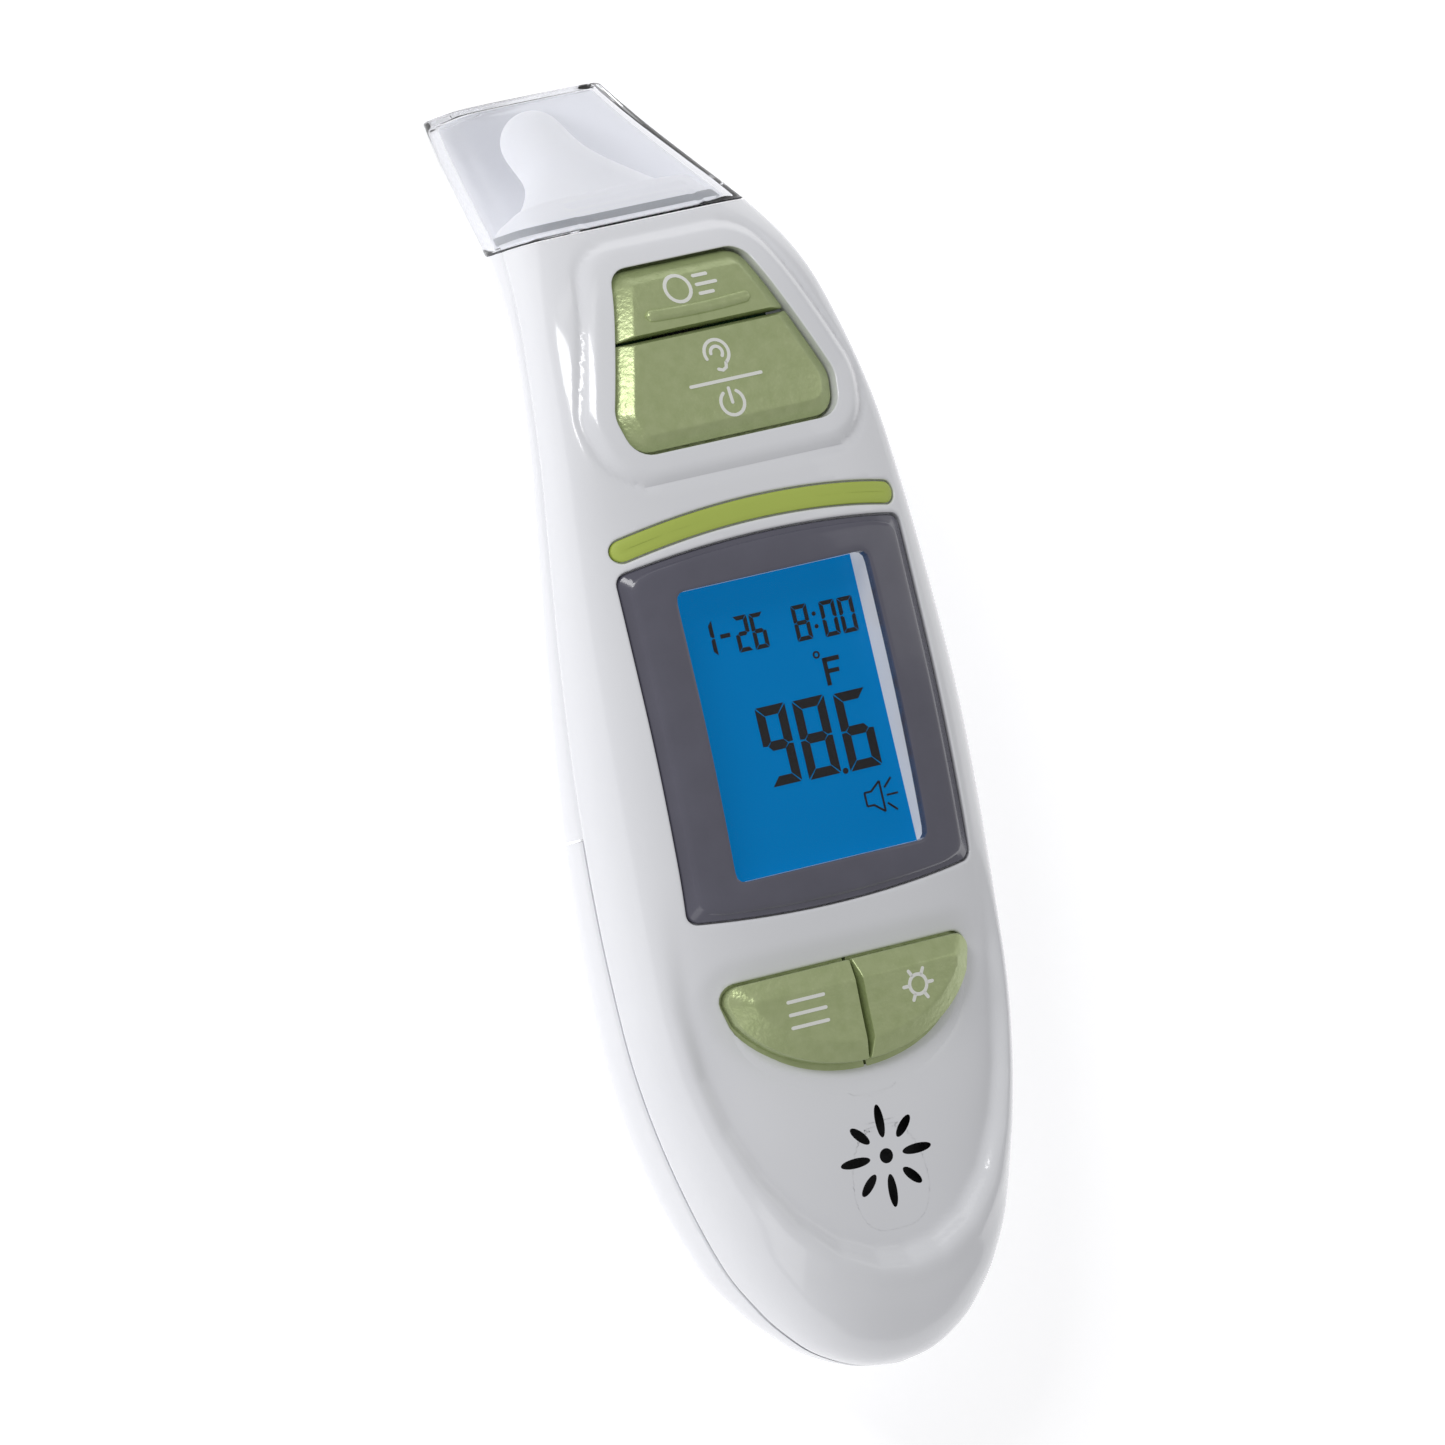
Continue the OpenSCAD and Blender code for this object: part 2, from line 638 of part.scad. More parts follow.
module backlight_leds() laid_down() color("white") for (x = [-7, 7])
    translate([x - 1.2, -lcd_h / 4, pcb_top]) cube([2.4, 1.4, lcd_z - glass_t - guide_t - pcb_top]);

module zebra_strips() laid_down() color("dimgray") for (y = [-1, 1])
    block(lcd_w - 2, 1.6, pcb_top, lcd_z - glass_t, y * (lcd_h / 2 - 1.4));

// ---- circuit board ----
pcb_low = grille_y + 9.2;
pcb_high = 52.4;
module main_pcb() laid_down() color("darkgreen") prism(pcb_top - pcb_t, pcb_top) difference() {
    union() {
        translate([-13, pcb_low]) square([26, pcb_high - pcb_low]);
        translate([-17, -22]) square([34, 44]);
    }
    for (x = [-14.8, 14.8], y = [-19, 19]) translate([x, y]) circle(1);
}

module under_board(x, y, w, l, h) {
    translate([x - w / 2, y - l / 2, pcb_top - pcb_t - h]) cube([w, l, h]);
}

module controller_chip() laid_down() color("black") under_board(0, 4, 10, 10, 1.6);
module memory_chip() laid_down() color("black") under_board(-6, 22, 4, 5, 1.5);
module crystal() laid_down() color("silver") translate([8, 2, pcb_top - pcb_t - 1])
    rotate([-90, 0, 0]) cylinder(h = 6, r = 1, $fn = 24);
module capacitors() laid_down() color("tan") for (k = [0:5])
    under_board(-9 + 3.6 * k, 13.5 + 1.5 * (k % 2), 2, 1.2, 1.1);

// ---- sound ----
module speaker() laid_down() color("darkslategray") translate([0, grille_y, 0]) {
    translate([0, 0, speaker_top - 1.6]) cylinder(h = 1.6, r = speaker_d / 2);
    translate([0, 0, speaker_top - 3.6]) cylinder(h = 2.2, r = speaker_d / 3.4);
}

module speaker_gasket() laid_down() color("black") translate([0, grille_y, speaker_top]) difference() {
    cylinder(h = gasket_t, r = speaker_d / 2);
    translate([0, 0, -1]) cylinder(h = gasket_t + 2, r = speaker_d / 2 - 1.6);
}

// ---- power ----
// A cell along +Y from its flat end, with its nub at the far end
module cell() rotate([-90, 0, 0]) {
    cylinder(h = cell_l - 1, r = cell_d / 2);
    cylinder(h = cell_l, r = 1.9);
}

module battery_left() laid_down() color("goldenrod")
    translate([-cell_x, bay_low + contact_t + spring_l, cell_z]) cell();
module battery_right() laid_down() color("goldenrod")
    translate([cell_x, bay_top - contact_t - spring_l, cell_z]) rotate(180) cell();

wire_r = 0.35;
module spring() {
    turns = 4;
    pitch = (spring_l - 2 * wire_r) / (turns - 1);
    for (k = [0:turns - 1]) translate([0, wire_r + k * pitch, 0]) rotate([-90, 0, 0])
        rotate_extrude($fn = 40) translate([3.6 - 0.5 * k, 0]) circle(wire_r, $fn = 16);
}

module battery_springs() laid_down() color("silver") {
    translate([-cell_x, bay_low + contact_t, cell_z]) spring();
    translate([cell_x, bay_top - contact_t, cell_z]) rotate(180) spring();
}

module battery_contacts() laid_down() color("silver")
    for (x = [-1, 1], y = [bay_low, bay_top - contact_t])
        translate([x * cell_x - 0.4 * cell_d, y, cell_z - 0.38 * cell_d])
            cube([0.8 * cell_d, contact_t, 0.82 * cell_d]);

// ---- fasteners ----
module screw(seat, length) {
    translate([0, 0, seat]) cylinder(h = length, r = screw_r);
    translate([0, 0, seat - 1.4]) difference() {
        cylinder(h = 1.4, r = screw_head_r);
        translate([-1.3, -0.25, -0.1]) cube([2.6, 0.5, 0.7]);
        translate([-0.25, -1.3, -0.1]) cube([0.5, 2.6, 0.7]);
    }
}

upper_seat = -12.6;
module housing_screws() laid_down() color("silver") for (x = [-1, 1]) {
    translate([x * SCREWS[0][0], SCREWS[0][1], 0]) screw(tray_top - tray_t, 8);
    translate([x * SCREWS[1][0], SCREWS[1][1], 0]) screw(upper_seat, 9);
}

front_cover();
rear_cover();
battery_door();
probe_cap();
probe_collar();
probe_seal();
ear_probe();
probe_window();
wave_guide();
ir_sensor();
sensor_holder();
sensor_leads();
head_button();
ear_power_button();
mem_button();
set_button();
head_plunger();
ear_power_plunger();
mem_plunger();
set_plunger();
head_switch();
ear_power_switch();
mem_switch();
set_switch();
display_lens();
accent_strip();
lcd_panel();
lcd_holder();
lcd_backlight();
backlight_leds();
zebra_strips();
main_pcb();
controller_chip();
memory_chip();
crystal();
capacitors();
speaker();
speaker_gasket();
speaker_leads();
battery_left();
battery_right();
battery_springs();
battery_contacts();
battery_leads();
housing_screws();
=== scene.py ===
# %% [markdown]
# # A digital ear thermometer
# A white two-shell body carries a display, four green press keys, a ring of speaker slots and a battery
# door. Its bent-back head ends in a probe under a clear pull-off hood. The frame gives every part's place
# and motion. Here each outer part is made again with fine meshes, round edges and a finish of its own.

import math

import bmesh
import bpy
import numpy as np
from mathutils import Matrix, Vector


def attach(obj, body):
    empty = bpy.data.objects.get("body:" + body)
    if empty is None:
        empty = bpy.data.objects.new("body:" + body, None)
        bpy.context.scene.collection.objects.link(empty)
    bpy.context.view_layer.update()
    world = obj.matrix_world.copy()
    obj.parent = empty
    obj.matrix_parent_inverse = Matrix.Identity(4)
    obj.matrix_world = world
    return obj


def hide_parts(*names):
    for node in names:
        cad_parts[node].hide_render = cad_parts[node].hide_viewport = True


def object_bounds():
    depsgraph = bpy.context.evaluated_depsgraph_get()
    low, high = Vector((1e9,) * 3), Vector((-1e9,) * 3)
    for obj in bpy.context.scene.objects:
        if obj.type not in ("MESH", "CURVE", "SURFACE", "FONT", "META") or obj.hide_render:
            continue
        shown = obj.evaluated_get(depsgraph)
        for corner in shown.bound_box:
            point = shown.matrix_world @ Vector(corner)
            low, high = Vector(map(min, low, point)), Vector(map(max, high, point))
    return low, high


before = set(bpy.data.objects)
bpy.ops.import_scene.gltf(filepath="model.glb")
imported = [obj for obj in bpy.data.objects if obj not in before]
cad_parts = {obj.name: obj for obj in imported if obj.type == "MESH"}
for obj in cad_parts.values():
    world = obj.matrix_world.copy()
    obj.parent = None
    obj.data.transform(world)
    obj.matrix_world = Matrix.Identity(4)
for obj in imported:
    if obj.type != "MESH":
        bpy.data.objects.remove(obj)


def corners_of(box):
    return [[float(v) for v in corner] for corner in box]


cad_box = corners_of(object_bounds())
print("CAD box in metres:", cad_box)

# %% [markdown]
# ## The rule of the body's shape
# The real covers were drawn as a row of cross-sections with a smooth skin over them. Each section is a
# squarish oval: one half in front of the seam and one behind it. The same rule gives a mesh as fine as
# wanted, so the rows of the frame's own design are used again. All sizes here are millimetres in the
# body's upright position, and laid() turns them into metres as the thermometer lies on its back.

# %% Sections along the body
# place along the body, half width, seam, front, back, squareness of front and back
SECTIONS = np.array([
    [-75.5, 0, -11.5, -11.5, -11.5, 2.2, 2.2], [-74.5, 5.2, -12.2, -8.6, -16.4, 2.3, 2.2],
    [-72, 9.6, -13.2, -6, -21.4, 2.6, 2.4], [-69, 12.4, -14, -4, -24.8, 2.8, 2.6],
    [-66, 14.5, -14.5, -2.8, -27.2, 3, 2.8], [-60, 17.6, -15, -1.5, -30.4, 3.1, 2.9],
    [-48, 21.2, -14.8, -0.3, -34, 3.2, 2.8], [-36, 23.5, -14, 0, -34.8, 3.3, 2.6],
    [-24, 24.2, -13.2, 1, -33.8, 3.4, 2.5], [-12, 24.4, -12, 2.4, -31, 3.4, 2.5],
    [0, 24.2, -10.5, 3.2, -27, 3.4, 2.5], [12, 23.5, -9, 3.3, -23.3, 3.4, 2.5],
    [24, 22.4, -7.6, 3, -19.8, 3.6, 2.5], [36, 20.9, -7, 2.1, -17.4, 4, 2.5],
    [48, 18.9, -8.6, -0.4, -18, 4, 2.5], [54, 17.4, -11, -2.8, -21.8, 4, 2.5],
    [60, 15.3, -15.5, -7.2, -28, 4, 2.5], [66, 13.3, -21.5, -13.9, -34.8, 4, 2.5],
    [72, 11.5, -27.5, -21, -40.4, 4, 2.6], [78, 10.1, -33.2, -28, -44.2, 4, 2.7]])
END_Y, NECK_Y, HOOD_Y = -75.5, 60.0, 78.0
WALL, DOOR_WALL, HOOD_WALL = 2.0, 1.8, 1.4
KNOTS = np.sqrt(SECTIONS[:, 0] - END_Y)
LAST = len(SECTIONS) - 1
SLOPES = np.array([(SECTIONS[min(i + 1, LAST)] - SECTIONS[max(i - 1, 0)])
                   / (KNOTS[min(i + 1, LAST)] - KNOTS[max(i - 1, 0)]) for i in range(LAST + 1)])


def section(y):
    """The seven numbers of the section at y, or at each y of an array."""
    s = np.sqrt(np.maximum(np.asarray(y, float) - END_Y, 0))
    i = np.clip(np.searchsorted(KNOTS, s, side="right") - 1, 0, LAST - 1)
    h = (KNOTS[i + 1] - KNOTS[i])[..., None]
    t = (s[..., None] - KNOTS[i][..., None]) / h
    return (SECTIONS[i] * (1 + 2 * t) * (1 - t) ** 2 + SLOPES[i] * h * t * (1 - t) ** 2
            + SECTIONS[i + 1] * t * t * (3 - 2 * t) + SLOPES[i + 1] * h * t * t * (t - 1))


def inner_section(y, wall):
    y = np.asarray(y, float)
    r = section(y - wall * np.maximum(0, 1 - (y - END_Y - wall) / 12))
    f = wall * np.minimum(1, (r[..., 3] - r[..., 2]) / 5)
    b = wall * np.minimum(1, (r[..., 2] - r[..., 4]) / 5)
    r[..., 1] -= wall * np.minimum(1, r[..., 1] / 8)
    r[..., 3] -= f
    r[..., 4] += b
    return r


def bare_front(x, y, wall=0.0):
    """Height of the plain front surface, or of one a wall under it."""
    r = inner_section(y, wall) if wall else section(y)
    q = np.minimum(1, np.abs(x) / np.maximum(r[..., 1], 1e-6))
    return r[..., 2] + (r[..., 3] - r[..., 2]) * (1 - q ** r[..., 5]) ** (1 / r[..., 5])


BELLY_Y, LAND = -36.0, 0.4
PITCH = math.atan((section(BELLY_Y)[4] - section(HOOD_Y)[4]) / (HOOD_Y - BELLY_Y))


def turned(y, z):
    return (y * math.cos(PITCH) - z * math.sin(PITCH), y * math.sin(PITCH) + z * math.cos(PITCH))


EDGE = []
for place in sorted({END_Y + 0.04, *[END_Y + 0.04 + 0.5 * k * k for k in range(4)],
                     *np.linspace(END_Y + 8.04, NECK_Y, 33), *np.linspace(NECK_Y, HOOD_Y, 6)}):
    row = section(place)
    EDGE += [turned(place, row[3]), turned(place, row[2]), turned(place, row[4])]
MID = (min(e[0] for e in EDGE) + max(e[0] for e in EDGE)) / 2
LOW = min(e[1] for e in EDGE) + LAND


def laid(points):
    """Upright millimetres to metres in the frame."""
    p = np.asarray(points, float)
    y, z = turned(p[..., 1], p[..., 2])
    return np.stack([p[..., 0], y - MID, z - LOW], axis=-1) * 0.001


print("pitch", round(math.degrees(PITCH), 3), "middle", round(MID, 3), "low", round(LOW, 3))

# %% [markdown]
# ## Camera, floor and light
# The view looks down on the display from the upper left, from far away with a long lens, so that
# nothing looks bent. Four soft lamps light it: a strong one on the upper left, and weak ones from the
# lower left, the right and beyond the head. An even white sky keeps the shadows pale.

# %% Camera
VIEW_SIDE = math.radians(27.5)
VIEW_ROLL = math.radians(13.2)
FRAME_WIDTH = 166.1
CAMERA_FAR = 1400.0
SENSOR = 36.0
side = np.array([math.cos(VIEW_SIDE), 0, math.sin(VIEW_SIDE)])
along = np.array([0.0, 1.0, 0.0])
toward = np.array([-math.sin(VIEW_SIDE), 0, math.cos(VIEW_SIDE)])
right = side * math.cos(VIEW_ROLL) - along * math.sin(VIEW_ROLL)
up = side * math.sin(VIEW_ROLL) + along * math.cos(VIEW_ROLL)
AIM_ACROSS, AIM_ALONG = -8.16, 1.37
aim = side * AIM_ACROSS + along * AIM_ALONG


def turned_only(v):
    y, z = turned(v[1], v[2])
    return Vector((v[0], y, z))


camera_data = bpy.data.cameras.new("camera")
camera_data.sensor_width = SENSOR
camera_data.lens = SENSOR * CAMERA_FAR / FRAME_WIDTH
camera_data.clip_start = 0.05
camera = bpy.data.objects.new("camera", camera_data)
turn = Matrix([turned_only(right), turned_only(up), turned_only(toward)]).transposed()
camera.matrix_world = Matrix.Translation(Vector(laid(aim + toward * CAMERA_FAR))) @ turn.to_4x4()
bpy.context.collection.objects.link(camera)
bpy.context.scene.camera = camera
print("camera at", [round(v, 3) for v in camera.location], "lens", round(camera_data.lens, 1), "mm")

# %% Colours are shown as they are
scene = bpy.context.scene
scene.view_settings.view_transform = "Standard"


def linear(r, g, b):
    """A colour as a paint chart gives it, 0 to 255, turned into light."""
    out = []
    for v in (r / 255, g / 255, b / 255):
        out.append(v / 12.92 if v <= 0.04045 else ((v + 0.055) / 1.055) ** 2.4)
    return (*out, 1.0)


# %% Sky and lamps
SKY_STRENGTH = 0.42
world = bpy.data.worlds.new("studio")
world.use_nodes = True
sky = world.node_tree.nodes["Background"]
sky.inputs["Color"].default_value = (1.0, 1.0, 1.0, 1.0)
sky.inputs["Strength"].default_value = SKY_STRENGTH
scene.world = world
LIT = Vector((0.0, 0.0, 0.02))


def lamp(name, at, size, power):
    """A rectangular lamp at a place in metres, turned towards the thermometer."""
    data = bpy.data.lights.new(name, "AREA")
    data.shape = "RECTANGLE"
    data.size, data.size_y = size
    data.energy = power
    thing = bpy.data.objects.new(name, data)
    thing.location = at
    thing.rotation_euler = (LIT - Vector(at)).to_track_quat("-Z", "Y").to_euler()
    bpy.context.collection.objects.link(thing)


lamp("key_light", (-0.58, 0.5, 0.66), (0.3, 0.45), 3.1)
lamp("low_light", (-0.6, -0.6, 0.36), (0.3, 0.5), 0.4)
lamp("side_light", (0.75, 0.1, 0.45), (0.3, 0.9), 0.35)
lamp("top_light", (-0.1, 0.9, 0.7), (0.8, 0.25), 0.4)

# %% [markdown]
# ## Finishes
# Every finish is one Principled shader fed by noise in Object coordinates, so that it sits still on its
# piece. The moulded shells have a faint unevenness in their gloss. The keys are pearl paint on a leather
# grain, and the lens frame is a dark print behind gloss. Small bumps are given in millimetres.


# %% Helpers for finishes
def node(tree, kind, links=(), **values):
    """A node of the tree. links: (input, source socket) pairs; values: its settings and plain inputs."""
    made = tree.nodes.new(kind)
    for key, value in values.items():
        if key in made.bl_rna.properties:
            setattr(made, key, value)
        else:
            made.inputs[key.replace("_", " ")].default_value = value
    for key, source in links:
        tree.links.new(source, made.inputs[key])
    return made


def finish_of(name, colour, second, rough=0.4, metal=0.0, blotch=6.0, rough_swing=0.05, bump=0.0,
              grain=0.5, coat=0.0, coat_rough=0.1, spec=0.5, see_through=0.0, ior=1.5, alpha=1.0,
              glow=0.0, stretch=(1.0, 1.0, 1.0)):
    """A node material of two close colours. blotch and grain: mm of the colour patches and the bumps."""
    mat = bpy.data.materials.new(name)
    mat.use_nodes = True
    tree = mat.node_tree
    shader = tree.nodes["Principled BSDF"]
    spot = node(tree, "ShaderNodeTexCoord")
    mapping = node(tree, "ShaderNodeMapping", [("Vector", spot.outputs["Object"])], Scale=stretch)
    patches = node(tree, "ShaderNodeTexNoise", [("Vector", mapping.outputs["Vector"])],
                   Scale=1000.0 / blotch, Detail=3.0)
    mix = node(tree, "ShaderNodeMix", [("Factor", patches.outputs["Fac"])], data_type="RGBA",
               A=linear(*colour), B=linear(*second))
    tree.links.new(mix.outputs["Result"], shader.inputs["Base Color"])
    gloss = node(tree, "ShaderNodeMapRange", [("Value", patches.outputs["Fac"])],
                 To_Min=max(0.01, rough - rough_swing), To_Max=rough + rough_swing)
    tree.links.new(gloss.outputs["Result"], shader.inputs["Roughness"])
    if bump:
        fine = node(tree, "ShaderNodeTexNoise", [("Vector", mapping.outputs["Vector"])],
                    Scale=1000.0 / grain, Detail=2.0)
        lift = node(tree, "ShaderNodeBump", [("Height", fine.outputs["Fac"])],
                    Strength=1.0, Distance=bump * 0.001)
        tree.links.new(lift.outputs["Normal"], shader.inputs["Normal"])
    plain = {"Metallic": metal, "Coat Weight": coat, "Coat Roughness": coat_rough,
             "Specular IOR Level": spec, "Transmission Weight": see_through, "IOR": ior, "Alpha": alpha}
    # Emission: the backlit display and the even floor glow. On a few other finishes the glow is painted
    # light.
    if glow:
        plain.update({"Emission Color": linear(*colour), "Emission Strength": glow})
    for label, value in plain.items():
        shader.inputs[label].default_value = value
    return mat


# %% The finishes of this thermometer
WHITE_ABS = finish_of("white_abs", (236, 237, 241), (232, 233, 238), rough=0.2, blotch=25,
                      rough_swing=0.03, bump=0.003, grain=4, coat=0.6, coat_rough=0.04)
CLEAR = finish_of("clear_styrene", (234, 235, 238), (231, 232, 236), rough=0.01, blotch=14,
                  rough_swing=0.005, see_through=1.0, ior=1.2, bump=0.02, grain=6)
PEARL = finish_of("pearl_green", (194, 205, 156), (168, 182, 128), rough=0.33, metal=0.5, blotch=1.4,
                  bump=0.065, grain=0.5, spec=0.7)
STRIP_GREEN = finish_of("strip_green", (182, 199, 92), (178, 195, 88), rough=0.5, blotch=5, bump=0.003,
                        grain=0.4)
LENS_DARK = finish_of("lens_print", (98, 97, 111), (88, 87, 100), rough=0.2, blotch=4, bump=0.004,
                      grain=0.5, coat=0.4, coat_rough=0.06)
PANE = finish_of("clear_pane", (20, 22, 26), (16, 18, 22), rough=0.05, alpha=0.05)
LCD_BLUE = finish_of("lit_blue", (0, 96, 152), (0, 94, 149), rough=0.6, blotch=12, glow=0.85, spec=0.05)
INK_BLACK = finish_of("segment_black", (28, 26, 28), (24, 22, 24), rough=0.5)
# Grey for the display holder and the door arrow. Its glow is painted light, in place of the light that the
# window pane keeps off the holder.
GREY_WITH_PAINTED_LIGHT = finish_of("grey_painted_light", (226, 224, 224), (196, 192, 191), rough=0.3, blotch=12,
                        bump=0.005, grain=0.6, glow=0.32)
# White print on the keys. Its faint glow is painted light.
PRINT_WHITE_PAINTED_LIGHT = finish_of("key_print_painted_light", (232, 233, 228), (226, 227, 222), rough=0.45, blotch=1.0,
                        glow=0.03)
BLACK = finish_of("black_nylon", (34, 34, 36), (28, 28, 30), rough=0.5, bump=0.01, grain=0.3)
RUBBER = finish_of("grey_silicone", (176, 178, 182), (168, 170, 174), rough=0.55)
# Seal silicone. Its glow is painted light.
SEAL_PAINTED_LIGHT = finish_of("seal_silicone_painted_light", (206, 208, 211), (198, 200, 203), rough=0.5, glow=0.12)
# White for the probe and the collar. Its glow is painted light, in place of the light that the clear hood
# keeps off them.
PROBE_WHITE_PAINTED_LIGHT = finish_of("probe_white_painted_light", (246, 246, 247), (240, 240, 242), rough=0.36, blotch=9,
                        bump=0.004, grain=0.4, glow=0.45)
STEEL = finish_of("plated_steel", (196, 197, 199), (184, 185, 188), rough=0.28, metal=1.0, bump=0.004,
                  grain=0.2, stretch=(1.0, 0.15, 1.0))
GOLD = finish_of("gold_plate", (222, 180, 96), (212, 170, 88), rough=0.2, metal=1.0)
BOARD = finish_of("solder_mask", (24, 96, 52), (18, 84, 44), rough=0.35, blotch=1.5, bump=0.01,
                  grain=0.6, coat=0.2)
CHIP = finish_of("chip_epoxy", (38, 38, 40), (32, 32, 34), rough=0.6, bump=0.006, grain=0.15)
CERAMIC = finish_of("ceramic_tan", (168, 134, 96), (154, 120, 84), rough=0.5)
CELL_GOLD = finish_of("cell_sleeve", (176, 132, 60), (166, 122, 52), rough=0.3, metal=0.6, blotch=8)
CELL_DARK = finish_of("cell_print", (44, 45, 50), (40, 41, 46), rough=0.32, metal=0.3)
RED_WIRE = finish_of("red_pvc", (178, 30, 26), (166, 26, 22), rough=0.45)
BLACK_WIRE = finish_of("black_pvc", (30, 30, 31), (26, 26, 27), rough=0.45)
FOAM = finish_of("foam", (44, 44, 46), (34, 34, 36), rough=0.9, blotch=0.8, bump=0.05, grain=0.3)
GUIDE = finish_of("light_guide", (222, 232, 240), (214, 226, 236), rough=0.2, see_through=0.5)
print(len(bpy.data.materials), "finishes with the frame's own")

# %% Floor
floor_mesh = bpy.data.meshes.new("floor")
floor_mesh.from_pydata([(-4, -4, 0), (4, -4, 0), (4, 4, 0), (-4, 4, 0)], [], [(0, 1, 2, 3)])
floor = bpy.data.objects.new("floor", floor_mesh)
bpy.context.collection.objects.link(floor)
floor.data.materials.append(finish_of("studio_floor", (250, 250, 251), (249, 249, 250), rough=0.8,
                                      blotch=400, rough_swing=0.02, spec=0.1, glow=0.5))


# %% [markdown]
# ## Helpers for meshes
# A piece is a list of closed rings with the same number of points, joined by quads. The same helper makes
# shells, keys and cutters. Boolean modifiers with the fast manifold solver cut the openings.


# %% Rings to an object
def build(name, points, faces, smooth=40.0):
    """An object from upright millimetres, its doubles merged and its faces turned outwards."""
    mesh = bpy.data.meshes.new(name)
    mesh.from_pydata(laid(points).tolist(), [], faces)
    shape = bmesh.new()
    shape.from_mesh(mesh)
    bmesh.ops.remove_doubles(shape, verts=shape.verts, dist=2e-7)
    bmesh.ops.dissolve_degenerate(shape, edges=shape.edges, dist=1e-7)
    bmesh.ops.recalc_face_normals(shape, faces=shape.faces)
    shape.to_mesh(mesh)
    shape.free()
    thing = bpy.data.objects.new(name, mesh)
    bpy.context.collection.objects.link(thing)
    soften(thing, smooth)
    return thing


def soften(thing, smooth):
    """Smooth shading, with creases kept where faces meet at more than this angle."""
    thing.data.polygons.foreach_set("use_smooth", [True] * len(thing.data.polygons))
    thing.data.set_sharp_from_angle(angle=math.radians(smooth))
    thing.data.update()


def ring_faces(rings, points, closed):
    """Quads between rows of a closed ring. The rows either close into a tube's loop or end in two caps."""
    faces = []
    for j in range(rings if closed else rings - 1):
        a, b = j * points, (j + 1) % rings * points
        for k in range(points):
            n = (k + 1) % points
            faces.append((a + k, a + n, b + n, b + k))
    if not closed:
        faces.append(tuple(range(points - 1, -1, -1)))
        faces.append(tuple((rings - 1) * points + k for k in range(points)))
    return faces


def loft(name, rings, closed=False, smooth=40.0):
    """An object from rings with the same number of points."""
    rings = np.asarray(rings, float)
    return build(name, rings.reshape(-1, 3), ring_faces(*rings.shape[:2], closed), smooth)


def carve(thing, tools, smooth=40.0, how="DIFFERENCE"):
    """Cuts the tools out of the thing, or joins them to it, and keeps one plain mesh."""
    for tool in tools:
        step = thing.modifiers.new(tool.name, "BOOLEAN")
        step.operation = how
        step.solver = "MANIFOLD"
        step.object = tool
    solid = bpy.data.meshes.new_from_object(thing.evaluated_get(bpy.context.evaluated_depsgraph_get()))
    thing.modifiers.clear()
    old = thing.data
    thing.data = solid
    bpy.data.meshes.remove(old)
    for tool in tools:
        bpy.data.objects.remove(tool)
    soften(thing, smooth)
    return thing


def place_piece(thing, material, body, slot, *stands_for):
    """Finish, body, slot (not used) and the CAD nodes that this piece stands for."""
    thing.data.materials.clear()
    thing.data.materials.append(material)
    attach(thing, body)
    if stands_for:
        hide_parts(*stands_for)
    thing.data.calc_loop_triangles()
    print(thing.name, len(thing.data.loop_triangles), "triangles")
    return thing


def within(thing):
    """Presses a piece into the frame's box, which gives it the flat land that the body lies on."""
    flat = np.empty(len(thing.data.vertices) * 3)
    thing.data.vertices.foreach_get("co", flat)
    points = np.clip(flat.reshape(-1, 3), cad_box[0], cad_box[1])
    thing.data.vertices.foreach_set("co", points.ravel())
    thing.data.update()
    return thing


# %% [markdown]
# ## Outlines of openings and keys
# Every opening and key is a rounded outline. Each corner has its own radius and each edge its own inset,
# and insets of one outline keep the same number of points, so that rings of them join without a twist.


# %% Outlines with corner radii
def inset(corners, by):
    """Moves each edge inwards by its own distance. corners: x, y, radius, anticlockwise."""
    n = len(corners)
    by = [by] * n if np.isscalar(by) else by
    lines = []
    for i in range(n):
        a, b = np.array(corners[i][:2]), np.array(corners[(i + 1) % n][:2])
        d = (b - a) / np.linalg.norm(b - a)
        inward = np.array([-d[1], d[0]])
        lines.append((a + inward * by[i], d, inward))
    out = []
    for i in range(n):
        (p, d, m), (q, e, k) = lines[i - 1], lines[i]
        cross = d[0] * e[1] - d[1] * e[0]
        if abs(cross) < 0.05:
            spot = np.array(corners[i][:2]) + (m + k) / 2 * (by[i - 1] + by[i]) / 2
        else:
            t = ((q - p)[0] * e[1] - (q - p)[1] * e[0]) / cross
            spot = p + d * t
        radius = corners[i][2]
        if radius > 0:
            radius = max(0.2, radius - min(by[i - 1], by[i]))
        out.append((spot[0], spot[1], radius))
    return out


ARC = 7


def trace(corners, counts):
    """Points round the outline: an arc at each corner with a radius, then counts[i] points on edge i."""
    n = len(corners)
    runs = []
    for i in range(n):
        x, y, radius = corners[i]
        here = np.array([x, y])
        before, after = np.array(corners[i - 1][:2]) - here, np.array(corners[(i + 1) % n][:2]) - here
        u, v = before / np.linalg.norm(before), after / np.linalg.norm(after)
        if radius <= 0:
            runs.append([here])
            continue
        half = math.acos(np.clip(u @ v, -1, 1)) / 2
        reach = min(radius / math.tan(half), 0.49 * np.linalg.norm(before), 0.49 * np.linalg.norm(after))
        radius = reach * math.tan(half)
        centre = here + (u + v) / np.linalg.norm(u + v) * radius / math.sin(half)
        a, b = here + u * reach - centre, here + v * reach - centre
        sweep = math.atan2(a[0] * b[1] - a[1] * b[0], a @ b)
        runs.append([centre + np.array([a[0] * math.cos(s) - a[1] * math.sin(s),
                                        a[0] * math.sin(s) + a[1] * math.cos(s)])
                     for s in np.linspace(0, sweep, ARC)])
    points = []
    for i in range(n):
        points += runs[i]
        a, b = runs[i][-1], runs[(i + 1) % n][0]
        points += [a + (b - a) * (m + 1) / (counts[i] + 1) for m in range(counts[i])]
    return np.array(points)


